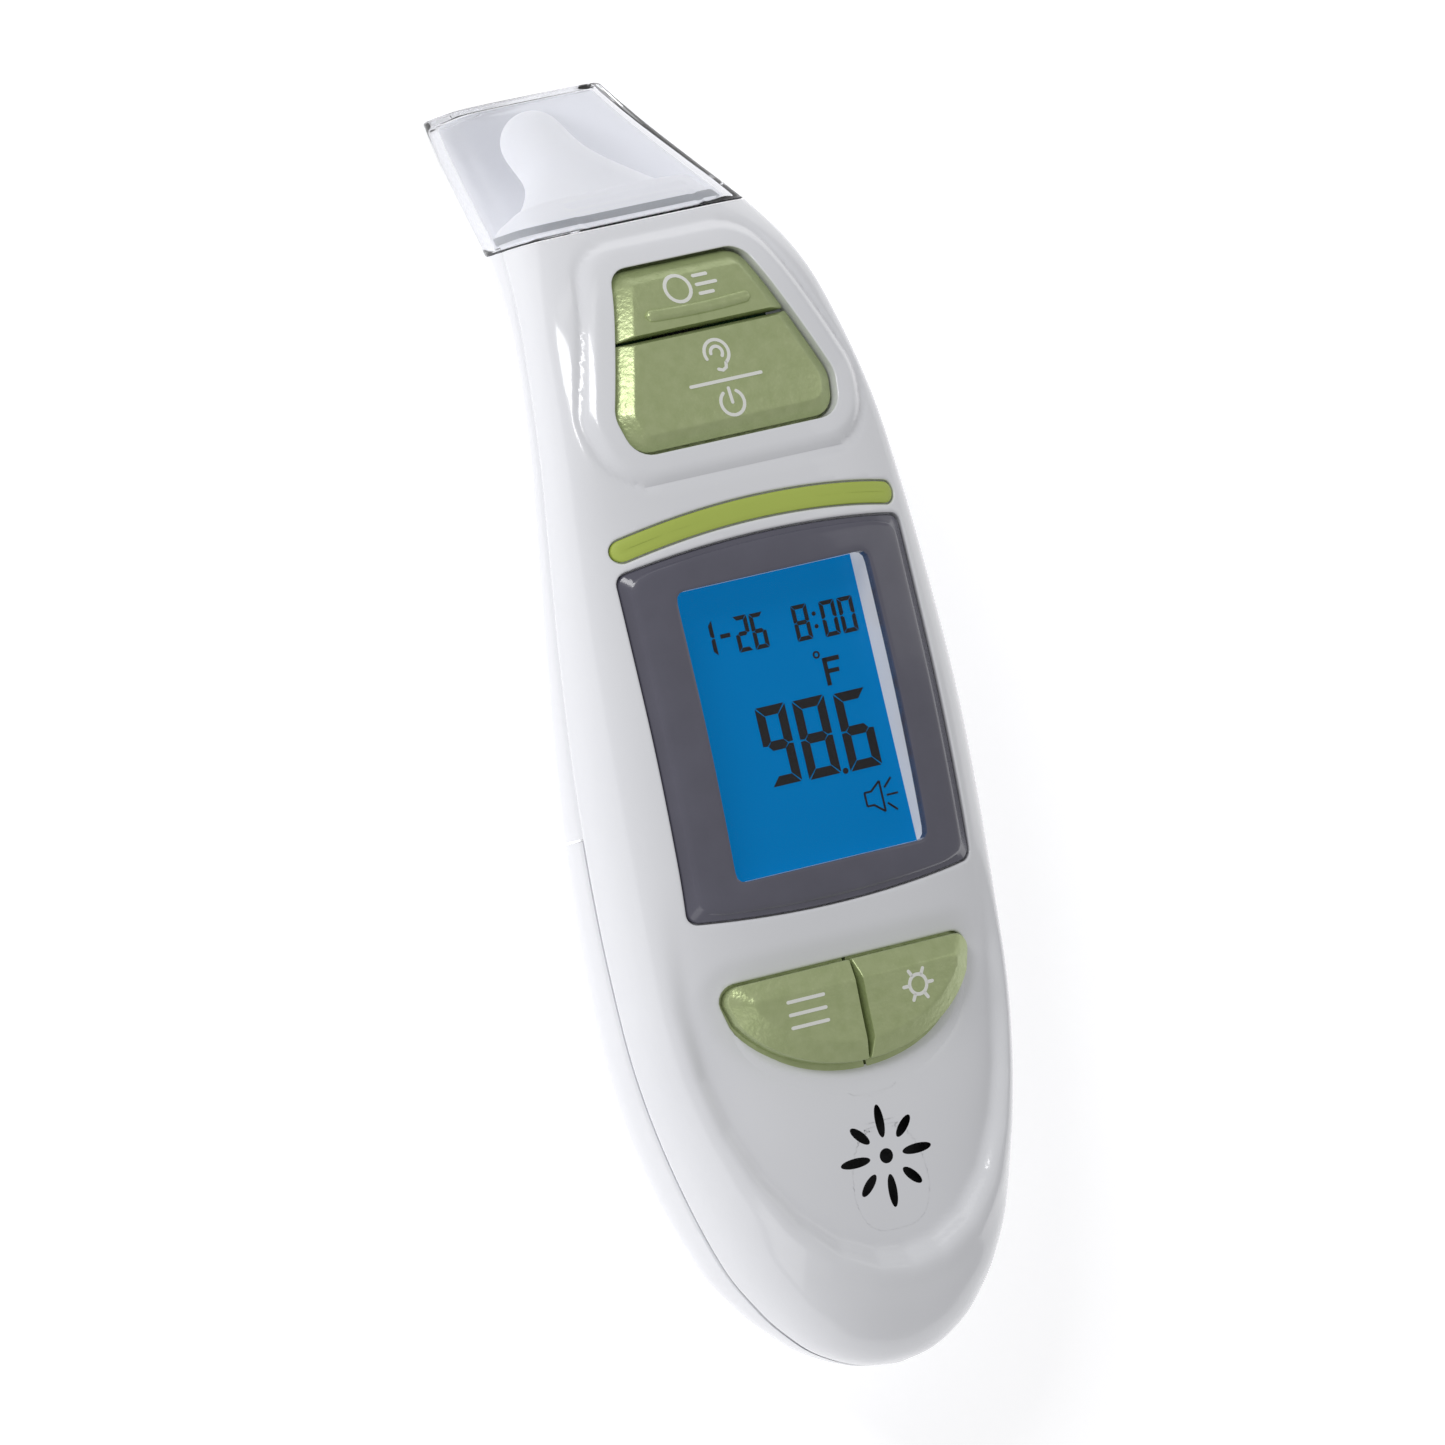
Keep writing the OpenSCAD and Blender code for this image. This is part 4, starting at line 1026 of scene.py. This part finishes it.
def key_piece(name, corners, split_edges, stem_at, bevel):
    """A key with its stem. split_edges: the edges that face its neighbour."""
    n = len(corners)
    gaps = [KEY_GAP / 2 if i in split_edges else KEY_GAP for i in range(n)]
    base = inset(corners, gaps)
    counts = edge_counts(base, 0.5)
    if n > 12:
        counts = [2 if math.dist(base[i][:2], base[(i + 1) % n][:2]) < 3 else 24 for i in range(n)]
    wide = [SPLIT_BEVEL if i in split_edges else bevel for i in range(n)]

    def line(f):
        return trace(inset(base, [f * w for w in wide]), counts)

    middle = line(1.0).mean(axis=0)
    out_by = [-0.02 if i in split_edges else -(FLANGE_OUT + KEY_GAP) for i in range(n)]
    flange = trace(inset(base, out_by), counts)
    flange_low = -KEY_GAP - FLANGE_T
    rings = [draped(middle + (flange - middle) * f, flange_low, wall=WALL) for f in (0.01, 0.5)]
    rings += [draped(flange, flange_low, wall=WALL), draped(flange, -KEY_GAP - 0.05, wall=WALL),
              draped(line(0), -KEY_GAP, wall=WALL), draped(line(0), KEY_EDGE - 0.12)]
    for f, h in ((0.03, 0.05), (0.08, 0.1), (0.5, 0.52), (0.88, 0.9), (0.96, 0.97), (1.04, 1.0)):
        rings.append(draped(line(f), KEY_EDGE + (KEY_TOP - KEY_EDGE) * h))
    inner = line(1.04)
    rings += [draped(middle + (inner - middle) * f, KEY_TOP) for f in (0.93, 0.8, 0.6, 0.4, 0.2, 0.01)]
    key = loft(name, rings, smooth=28)
    x, y = stem_at
    stem_top = float(bare_front(float(x), float(y), WALL)) - KEY_GAP - 0.3
    turn_at = np.radians(np.arange(0, 360, 12))
    stem = [[(x + STEM_R * math.cos(a), y + STEM_R * math.sin(a), z) for a in turn_at]
            for z in (STEM_LOW, stem_top)]
    return carve(key, [loft(name + "_stem", stem)], smooth=28, how="UNION")


BOARD_FACE, SWITCH_H, PLUNGER_H = -8.6, 3.5, 0.9
STEM_LOW, STEM_R, PAIR_BEVEL = BOARD_FACE + SWITCH_H + PLUNGER_H, 1.6, 2.3
KEYS = [("head", HEAD_KEY, 2, (0, 48.4), BEVEL), ("ear_power", EAR_KEY, 0, (0, 40), BEVEL),
        ("mem", MEM_KEY, len(MEM_KEY) - 1, (-8.4, -33.2), PAIR_BEVEL),
        ("set", SET_KEY, len(SET_KEY) - 1, (8.4, -33.2), PAIR_BEVEL)]
keys = [key_piece(label + "_key_top", corners, {split}, at, bevel)
        for label, corners, split, at, bevel in KEYS]
for key, (label, *_) in zip(keys, KEYS):
    place_piece(key, PEARL, label + "_key", "key", label + "_button")


# %% [markdown]
# ## Printed signs and the ridge
# The keys carry small white prints. They are generic pictures: a round face for the forehead mode, an
# ear bow over a line with a power sign under it, stacked lines for the memory and a cog for settings. A
# stroke is a thin raised ribbon that follows the key's top.


# %% The signs on the keys
def on_key(x, y):
    return bare_front(float(x), float(y)) + KEY_TOP


def sign(name, body, lines, width=0.42):
    return place_piece(build(name, *stroke_mesh(lines, width, on_key)), PRINT_WHITE_PAINTED_LIGHT, body, "key")


sign("head_sign", "head_key", [
    circle_line(-1.6, 51.1, 1.6),
    *[dense_line((0.9, y), (end, y), 4) for y, end in ((52.2, 2.6), (51.1, 3.4), (50.0, 2.6))]])
sign("ear_sign", "ear_power_key", [
    circle_line(0.2, 42.9, 1.55, -60, 200), circle_line(0.2, 42.9, 0.75, -40, 180, 13),
    [(0.97, 41.56), (0.8, 41.0), (0.3, 40.75), (-0.2, 40.95)]], width=0.4)
sign("power_sign", "ear_power_key", [
    dense_line((-4.4, 39.6), (4.9, 39.6), 16), circle_line(0.2, 36.9, 1.5, 125, 415),
    dense_line((0.2, 36.9), (0.2, 38.6), 4)], width=0.4)
sign("mem_sign", "mem_key", [dense_line((-9.6, y), (-5.0, y)) for y in (-31.6, -33.1, -34.6)])
cog = [circle_line(7.4, -33.1, 1.15)]
for a in range(0, 360, 60):
    c, s = math.cos(math.radians(a)), math.sin(math.radians(a))
    cog.append([(7.4 + 1.35 * c, -33.1 + 1.35 * s), (7.4 + 1.95 * c, -33.1 + 1.95 * s)])
sign("set_sign", "set_key", cog)

# %% The ridge that the thumb feels on the head key
RIDGE_HALF, RIDGE_R, RIDGE_UP = 6.9, 0.75, 0.55
ridge_rings = []
for a in np.linspace(-90, 90, 41):
    x = RIDGE_HALF * math.sin(math.radians(a))
    y_mid = 48.35 + 0.25 * (x / RIDGE_HALF) ** 2
    fat = math.sqrt(max(0.0, 1 - max(0.0, (abs(x) - RIDGE_HALF + RIDGE_R) / RIDGE_R) ** 2)) or 0.02
    ridge_rings.append([(x, y_mid + RIDGE_R * fat * math.cos(b),
                         on_key(x, y_mid) + RIDGE_UP * fat * math.sin(b) - 0.05)
                        for b in np.radians(np.arange(0, 360, 20))])
ridge = loft("head_key_ridge", ridge_rings)
place_piece(ridge, PEARL, "head_key", "key")


# %% [markdown]
# ## Lens and display
# The lens is a dark frame with rounded shoulders round a clear window. Under it, sunk by five millimetres,
# lies the blue-lit panel with its black segments. The frame is a band of rings between the outer outline
# and the window, both traced by the angle from the middle so that they match.

# %% Lens frame and window
WINDOW_X, WINDOW_Y = 12.75, 17.0


def by_angle(points, angles):
    """Where rays from the middle at these angles meet the closed outline."""
    own = np.unwrap(np.arctan2(points[:, 1], points[:, 0]))
    own, points = np.append(own, own[0] + 2 * math.pi), np.vstack([points, points[:1]])
    want = own[0] + (angles - own[0]) % (2 * math.pi)
    return np.stack([np.interp(want, own, points[:, 0]), np.interp(want, own, points[:, 1])], 1)


def lens_line(grow):
    corners = lens_outline(LENS_HALF + grow, LENS_TALL + grow, 1.6 + grow)
    return trace(corners, [30 if i in (len(corners) - 1, 15) else 1 for i in range(len(corners))])


def box_corners(half, tall, radius):
    return [(half, tall, radius), (-half, tall, radius), (-half, -tall, radius), (half, -tall, radius)]


def window_line(grow):
    return trace(box_corners(WINDOW_X + grow, WINDOW_Y + grow, 1.1), [30, 40, 30, 40])


corner = math.atan2(LENS_TALL, LENS_HALF)
rays = np.sort(np.concatenate([
    np.linspace(0, 2 * math.pi, 220, endpoint=False),
    *[np.linspace(-0.05, 0.05, 13) + a
      for a in (corner, math.pi - corner, math.pi + corner, 2 * math.pi - corner)]]))
outer_line, hole_line = by_angle(lens_line(-0.05), rays), by_angle(window_line(0), rays)
LENS_T, LENS_UP = 1.2, 0.12
lens_rings = band(outer_line, hole_line, [
    (0, -LENS_T), (0, -0.75), (0.012, -0.55), (0.03, -0.42), (0.15, -0.3), (0.17, -0.16), (0.2, -0.04),
    (0.3, 0.06), (0.5, LENS_UP), (0.9, LENS_UP), (0.955, LENS_UP - 0.03), (0.99, LENS_UP - 0.13),
    (1.0, LENS_UP - 0.3), (1.0, -LENS_T)])
lens_frame = loft("lens_frame", lens_rings, closed=True, smooth=30)
place_piece(lens_frame, LENS_DARK, "body", "lens", "display_lens")

pane_line = window_line(-0.02)
PANE_STEPS = (0.01, 0.4, 0.8, 1)
pane_rings = [draped(pane_line * f, -1.1) for f in PANE_STEPS]
pane_rings += [draped(pane_line * f, -0.3) for f in PANE_STEPS[::-1]]
pane = loft("lens_window", pane_rings, smooth=30)
place_piece(pane, PANE, "body", "lens")

# %% Segments of the display
PANEL_DROP, INK_UP, INK_DOWN = 5.2, 0.06, 0.05
LCD_Z = SECTIONS[10, 3] - PANEL_DROP
SEGMENTS = {"0": "abcdef", "1": "bc", "2": "abged", "6": "afgedc", "8": "abcdefg", "9": "abcdfg"}


def seven(digit, x, y, w, h, t, gap):
    """Polygons of one seven-segment digit in the box from x, y to x + w, y + h."""
    m = y + h / 2
    bars = {
        "a": [(x + gap, y + h), (x + w - gap, y + h), (x + w - t, y + h - t), (x + t, y + h - t)],
        "d": [(x + gap, y), (x + t, y + t), (x + w - t, y + t), (x + w - gap, y)],
        "b": [(x + w, y + h - gap), (x + w, m + gap), (x + w - t / 2, m + gap / 2),
              (x + w - t, m + t / 2), (x + w - t, y + h - t - gap)],
        "c": [(x + w, m - gap), (x + w, y + gap), (x + w - t, y + t + gap), (x + w - t, m - t / 2),
              (x + w - t / 2, m - gap / 2)],
        "f": [(x, y + h - gap), (x + t, y + h - t - gap), (x + t, m + t / 2), (x + t / 2, m + gap / 2),
              (x, m + gap)],
        "e": [(x, m - gap), (x + t / 2, m - gap / 2), (x + t, m - t / 2), (x + t, y + t + gap),
              (x, y + gap)],
        "g": [(x + t / 2 + gap, m), (x + t + gap / 2, m + t / 2), (x + w - t - gap / 2, m + t / 2),
              (x + w - t / 2 - gap, m), (x + w - t - gap / 2, m - t / 2), (x + t + gap / 2, m - t / 2)],
    }
    return [bars[s] for s in SEGMENTS[digit]]


def disc(x, y, radius, steps=14):
    return circle_line(x, y, radius, 0, 360, steps + 1)[:-1]


def bar(x0, y0, x1, y1, t):
    d = np.array([x1 - x0, y1 - y0])
    s = np.array([-d[1], d[0]]) / np.linalg.norm(d) * t / 2
    return [(x0 + s[0], y0 + s[1]), (x0 - s[0], y0 - s[1]), (x1 - s[0], y1 - s[1]), (x1 + s[0], y1 + s[1])]


SMALL, BIG = (0.5, 0.08), (1.12, 0.13)  # stroke and gap
shapes = [*seven("1", -8.4, 8.9, 1.75, 4.2, *SMALL), bar(-5.9, 11.0, -4.6, 11.0, 0.5),
          *seven("2", -3.9, 8.7, 1.85, 4.2, *SMALL), *seven("6", -1.75, 8.6, 1.85, 4.2, *SMALL),
          *seven("8", 3.8, 8.4, 2.05, 4.2, *SMALL), disc(6.6, 11.2, 0.26), disc(6.6, 9.7, 0.26),
          *seven("0", 7.5, 8.2, 2.0, 4.2, *SMALL), *seven("0", 9.9, 8.15, 2.0, 4.2, *SMALL),
          bar(6.55, 2.7, 6.55, 5.95, 0.55), bar(6.5, 5.7, 8.5, 5.7, 0.55), bar(6.7, 4.35, 8.2, 4.35, 0.5),
          *seven("9", -3.75, -7.25, 3.95, 9.3, *BIG), *seven("8", 1.15, -7.4, 4.25, 9.3, *BIG),
          *seven("6", 6.6, -7.55, 4.25, 9.2, *BIG), disc(5.98, -7.3, 0.36)]
ICON = 0.24
speaker_lines = [(7.7, -10.3, 8.6, -10.3), (7.7, -10.3, 7.7, -11.9), (7.7, -11.9, 8.6, -11.9),
                 (8.6, -10.3, 9.9, -9.3), (8.6, -11.9, 9.9, -12.9), (9.9, -9.3, 9.9, -12.9),
                 (10.4, -10.2, 11.5, -9.2), (10.5, -11.1, 12.0, -11.1), (10.4, -12.0, 11.5, -13.0)]
shapes += [bar(*line, ICON) for line in speaker_lines]
points, faces = [], []
for shape in shapes:
    start = len(points)
    for z in (LCD_Z + INK_UP, LCD_Z - INK_DOWN):
        points += [(x, y, z) for x, y in shape]
    faces += prism_faces(start, len(shape))
ring_out, ring_in = circle_line(5.7, 6.5, 0.46)[:-1], circle_line(5.7, 6.5, 0.24)[:-1]
digits = build("lcd_segments", points, faces)
place_piece(digits, INK_BLACK, "body", "lcd")
degree = loft("lcd_degree", [[(x, y, z) for x, y in ring] for ring, z in (
    (ring_out, LCD_Z - INK_DOWN), (ring_out, LCD_Z + INK_UP), (ring_in, LCD_Z + INK_UP),
    (ring_in, LCD_Z - INK_DOWN))],
    closed=True)
place_piece(degree, INK_BLACK, "body", "lcd")

# %% [markdown]
# ## Accent strip
# A flat green strip lies in a shallow arched groove over the lens. It is one ring of points round an arc,
# repeated for its underside, its side wall, its small edge radius and its top, which follows the cover.

# %% Accent strip
edge_line = strip_loop(0.0)
strip_rings = band(edge_line, strip_core(edge_line), [
    (0.98, -0.8), (0.5, -0.8), (0, -0.8), (0, -0.28), (0.05, -0.18), (0.16, -0.12), (0.5, -0.1),
    (0.98, -0.1)])
strip = loft("accent_band", strip_rings, smooth=35)
place_piece(strip, STRIP_GREEN, "body", "strip", "accent_strip")

# %% [markdown]
# ## Clear hood, collar and probe
# The hood is a cup of clear plastic: one loft runs from the middle of its inner end, down its inner wall,
# over the rim and back up its outer wall. Its walls have real thickness, so light bends in them. The
# collar it sits on ends in a slanted face, and the probe grows out of that face: an oval foot that draws
# in to a round tip while it turns into the probe's own direction.

# %% Clear hood
HOOD_GAP, TAB_HALF, TAB_TOP, TAB_DEEP = 0.15, 7.8, 63.6, 0.3


def whole_section(rows, count):
    """Evenly spread points round whole sections, the front half first."""
    front_half = half_section(rows, 1, count)
    back_half = half_section(rows, -1, count)[:, ::-1]
    return np.concatenate([front_half, back_half[:, 1:-1]], axis=1)


def shrunk(ring, f, y):
    middle = np.array([0.0, y, (ring[:, 2].max() + ring[:, 2].min()) / 2])
    out = middle + (ring - middle) * f
    out[:, 1] = y
    return out


hood_count = 110
END_WALL, EDGE_R = 0.95, 0.4
inner_end = HOOD_Y - END_WALL
inner_rows = np.linspace(NECK_Y + HOOD_GAP, inner_end - 0.3, 30)
inner_rings = whole_section(inner_section(inner_rows, HOOD_WALL), hood_count)
inner_rings[..., 1] = inner_rows[:, None]
hood_rings = [shrunk(inner_rings[-1], f, inner_end) for f in (0.02, 0.3, 0.6, 0.86, 0.93)]
hood_rings.append(shrunk(inner_rings[-1], 0.98, inner_end - 0.1))
hood_rings += list(inner_rings[::-1])
outer_rows = np.concatenate([np.linspace(NECK_Y + HOOD_GAP, 64.5, 16),
                             np.linspace(64.9, HOOD_Y - EDGE_R, 30)])
outer_rings = whole_section(section(outer_rows), hood_count)
on_tab = ((np.abs(outer_rings[..., 0]) < TAB_HALF) & (outer_rings[..., 1] < TAB_TOP)
          & (np.arange(outer_rings.shape[1]) < hood_count))
outer_rings[..., 2] -= TAB_DEEP * on_tab
first = outer_rings[0].copy()
hood_rings.append(shrunk(first, 0.985, NECK_Y + HOOD_GAP))
hood_rings.append(first + [0, 0.15, 0])
hood_rings += list(outer_rings[1:])
for a in np.radians([25, 50, 72, 90]):
    y = HOOD_Y - EDGE_R * (1 - math.sin(a))
    f = 1 - EDGE_R / 9 * (1 - math.cos(a))
    hood_rings.append(shrunk(whole_section(section(np.array([y])), hood_count)[0], f, y))
last = hood_rings[-1]
hood_rings += [shrunk(last, f, HOOD_Y) for f in (0.97, 0.8, 0.4, 0.02)]
hood = loft("hood_cup", hood_rings, smooth=50)
place_piece(within(hood), CLEAR, "hood", "hood", "probe_cap")

# %% Collar
FACE_TILT, COLLAR_Y, COLLAR_DEEP, COLLAR_WALL = math.radians(18), NECK_Y + 2.6, 3.4, WALL + 0.2
collar_row = section(COLLAR_Y)
COLLAR_Z = (collar_row[3] + collar_row[4]) / 2
collar_count = 90


def collar_ring(t, wall=COLLAR_WALL):
    """Ring t of the way from the collar's lower end to its slanted face."""
    low = NECK_Y - COLLAR_DEEP
    y = np.full(2 * collar_count - 2, NECK_Y)
    points = None
    for _ in range(6):
        base = inner_section(y, wall)
        angle = np.radians(np.arange(2 * collar_count - 2) * 180 / (collar_count - 1))
        c, s = np.cos(angle), np.sin(angle)
        n = np.where(s >= 0, base[:, 5], base[:, 6])
        h = np.where(s >= 0, base[:, 3] - base[:, 2], base[:, 2] - base[:, 4])
        x = np.sign(c) * base[:, 1] * np.abs(c) ** (2 / n)
        z = base[:, 2] + np.sign(s) * h * np.abs(s) ** (2 / n)
        points = np.stack([x, y, z], 1)
        face_y = COLLAR_Y + math.tan(FACE_TILT) * (z - COLLAR_Z)
        y = low + (face_y - low) * t
    points[:, 1] = y
    return points


collar_rings = [collar_ring(t) for t in np.linspace(0, 0.96, 24)]
top = collar_ring(1.0)
core = np.array([0.0, COLLAR_Y, COLLAR_Z])
collar_rings.append(top + (core - top) * 0.02)
for f in (0.06, 0.3, 0.6, 0.98):
    p = top + (core - top) * f
    p[:, 1] = COLLAR_Y + math.tan(FACE_TILT) * (p[:, 2] - COLLAR_Z)
    collar_rings.append(p)
collar_rings.insert(0, shrunk(collar_rings[0], 0.02, NECK_Y - COLLAR_DEEP))
collar = loft("hood_collar", collar_rings, smooth=35)

TILT, BORE_R, TIP_D, PROBE_L = math.radians(48), 3.0, 7.8, 21.0
CONE_L = PROBE_L - TIP_D / 2 - 2.7


def from_probe(points):
    """Points drawn along the probe's own axis, turned into the body's upright frame."""
    p = np.asarray(points, float)
    a = -math.pi / 2 - TILT
    return np.stack([p[..., 0], COLLAR_Y + p[..., 1] * math.cos(a) - p[..., 2] * math.sin(a),
                     COLLAR_Z + p[..., 1] * math.sin(a) + p[..., 2] * math.cos(a)], axis=-1)


ROUND = np.radians(np.arange(0, 360, 3.75))


def round_ring(radius, l):
    return from_probe([(radius * math.cos(u), radius * math.sin(u), l) for u in ROUND])


bore = loft("collar_bore", [round_ring(BORE_R + 0.2, -12), round_ring(BORE_R + 0.2, 6)])
carve(collar, [bore])
# The collar's white glows: painted light.
place_piece(collar, PROBE_WHITE_PAINTED_LIGHT, "body", "probe", "probe_collar")

# %% Probe


def cone_ring(l):
    q = l / CONE_L
    flare = (1 - min(1, 1.25 * q)) ** 2.2
    a = TIP_D / 2 + 6.2 * flare + 0.9 * (1 - q)
    b = TIP_D / 2 + 1.8 * flare + 0.3 * (1 - q)
    lean = math.radians(30) * (1 - min(1, 1.6 * q)) ** 2
    return from_probe([(a * math.cos(u), b * math.sin(u) * math.cos(lean),
                        l + b * math.sin(u) * math.sin(lean)) for u in ROUND])


WINDOW_R = BORE_R - 1.1
TIP_R = TIP_D / 2
dome_end = math.degrees(math.acos((WINDOW_R + 0.2) / TIP_R))
probe_rings = [round_ring(BORE_R, l) for l in (0.3, CONE_L - 0.4)] + [round_ring(WINDOW_R, CONE_L - 0.4)]
top_l = CONE_L + TIP_R * math.sin(math.radians(dome_end))
probe_rings += [round_ring(WINDOW_R, top_l - 0.25), round_ring(WINDOW_R + 0.08, top_l - 0.05)]
probe_rings += [round_ring(TIP_R * math.cos(a), CONE_L + TIP_R * math.sin(a))
                for a in np.radians(np.linspace(dome_end, 4, 14))]
probe_rings += [cone_ring(CONE_L * t) for t in np.linspace(1, 0, 42)]
probe = loft("probe_cone", probe_rings, closed=True, smooth=40)
# The probe's white glows: painted light.
place_piece(probe, PROBE_WHITE_PAINTED_LIGHT, "body", "probe", "ear_probe")

# %% [markdown]
# ## Cells and springs
# The two cells lie head to tail. A cell is a profile turned round its axis: a dark sleeve, a copper band
# at its top and a bright nub. The springs are true spirals: a Geometry Nodes tree sweeps a wire round one.

# %% Cells
CELL_X, CELL_Z, CELL_R, CELL_L, SPRING_L, CONTACT_T = 5.6, -20.45, 5.25, 44.5, 3.6, 0.4


SLEEVE_TOP = 32.5
SLEEVE = [(0.05, 0.12), (4.2, 0.12), (4.3, 0), (4.9, 0), (5.15, 0.1), (CELL_R, 0.4), (CELL_R, 15),
          (CELL_R, SLEEVE_TOP), (0.05, SLEEVE_TOP)]
BAND = [(0.05, SLEEVE_TOP + 0.05), (CELL_R, SLEEVE_TOP + 0.05), (CELL_R, 42.9), (5.1, 43.25), (4.7, 43.45),
        (3.9, 43.45), (3.8, 43.3), (0.05, 43.3)]
NUB = [(0.05, 43.35), (3.7, 43.35), (3.75, 43.42), (2.0, 43.5), (1.9, 43.6), (1.9, 44.3), (1.75, CELL_L),
       (0.05, CELL_L)]


def turned_piece(name, profile, x, start, way, material, *stands_for):
    """A closed profile of radius, distance pairs, turned round a line along the body."""
    rings = [[(x + r * math.cos(a), start + way * d, CELL_Z + r * math.sin(a)) for a in AROUND]
             for r, d in profile]
    place_piece(loft(name, rings, smooth=35), material, "body", "cell", *stands_for)


for label, *line in (("left", -CELL_X, BAY_LOW + CONTACT_T + SPRING_L, 1),
                     ("right", CELL_X, BAY_TOP - CONTACT_T - SPRING_L, -1)):
    turned_piece(label + "_cell_sleeve", SLEEVE, *line, CELL_DARK, "battery_" + label)
    turned_piece(label + "_cell_band", BAND, *line, CELL_GOLD)
    turned_piece(label + "_cell_nub", NUB, *line, STEEL)

# %% Springs with Geometry Nodes
SPRING = {"Turns": 4.0, "Foot Radius": 3.6, "Tip Radius": 2.1, "Height": 2.9, "Wire Radius": 0.35,
          "Material": STEEL}
coil, ins, outs, coil_ids = tree_with("contact_spring", SPRING)
spiral = node(coil, "GeometryNodeCurveSpiral", [
    ("Rotations", ins.outputs["Turns"]), ("Start Radius", ins.outputs["Foot Radius"]),
    ("End Radius", ins.outputs["Tip Radius"]), ("Height", ins.outputs["Height"])], Resolution=32)
wire = node(coil, "GeometryNodeCurvePrimitiveCircle", [("Radius", ins.outputs["Wire Radius"])],
            Resolution=10)
swept = node(coil, "GeometryNodeCurveToMesh", [("Curve", spiral.outputs["Curve"]),
                                               ("Profile Curve", wire.outputs["Curve"])])
swept.inputs["Fill Caps"].default_value = True
finish_tree(coil, swept.outputs["Mesh"], ins, outs)
WIRE_R = SPRING["Wire Radius"]
springs = []
for label, x, start, tilt in (("left", -CELL_X, BAY_LOW + CONTACT_T + WIRE_R, -math.pi / 2),
                              ("right", CELL_X, BAY_TOP - CONTACT_T - WIRE_R, math.pi / 2)):
    spring = grown(label + "_spring", coil, coil_ids, SPRING)
    settle(spring, (x, start, CELL_Z), tilt)
    soften(spring, 60)
    springs.append(spring)
place_piece(springs[0], STEEL, "body", "steel", "battery_springs")
place_piece(springs[1], STEEL, "body", "steel")

# %% [markdown]
# ## Parts inside
# What lies under the covers, the lens and the hood keeps the frame's own shape and gets a finish.

# %% Finishes of the carried-over nodes
SWITCHES = [label + part for label, *_ in KEYS for part in ("_plunger", "_switch")]
# The display holder's grey and the seal's silicone glow a little: painted light.
INSIDE = {
    BLACK: ["sensor_holder", *SWITCHES], SEAL_PAINTED_LIGHT: ["probe_seal"], RUBBER: ["zebra_strips"],
    STEEL: ["ir_sensor", "crystal", "battery_contacts", "housing_screws", "probe_window"],
    GOLD: ["wave_guide"], RED_WIRE: ["sensor_leads", "battery_leads"], BLACK_WIRE: ["speaker_leads"],
    LCD_BLUE: ["lcd_panel"], GREY_WITH_PAINTED_LIGHT: ["lcd_holder"], GUIDE: ["lcd_backlight", "backlight_leds"],
    BOARD: ["main_pcb"], CHIP: ["controller_chip", "memory_chip", "speaker"], CERAMIC: ["capacitors"],
    FOAM: ["speaker_gasket"]}
for material, names in INSIDE.items():
    for name in names:
        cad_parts[name].data.materials.clear()
        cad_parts[name].data.materials.append(material)
print(sum(len(names) for names in INSIDE.values()), "carried-over nodes with finishes")
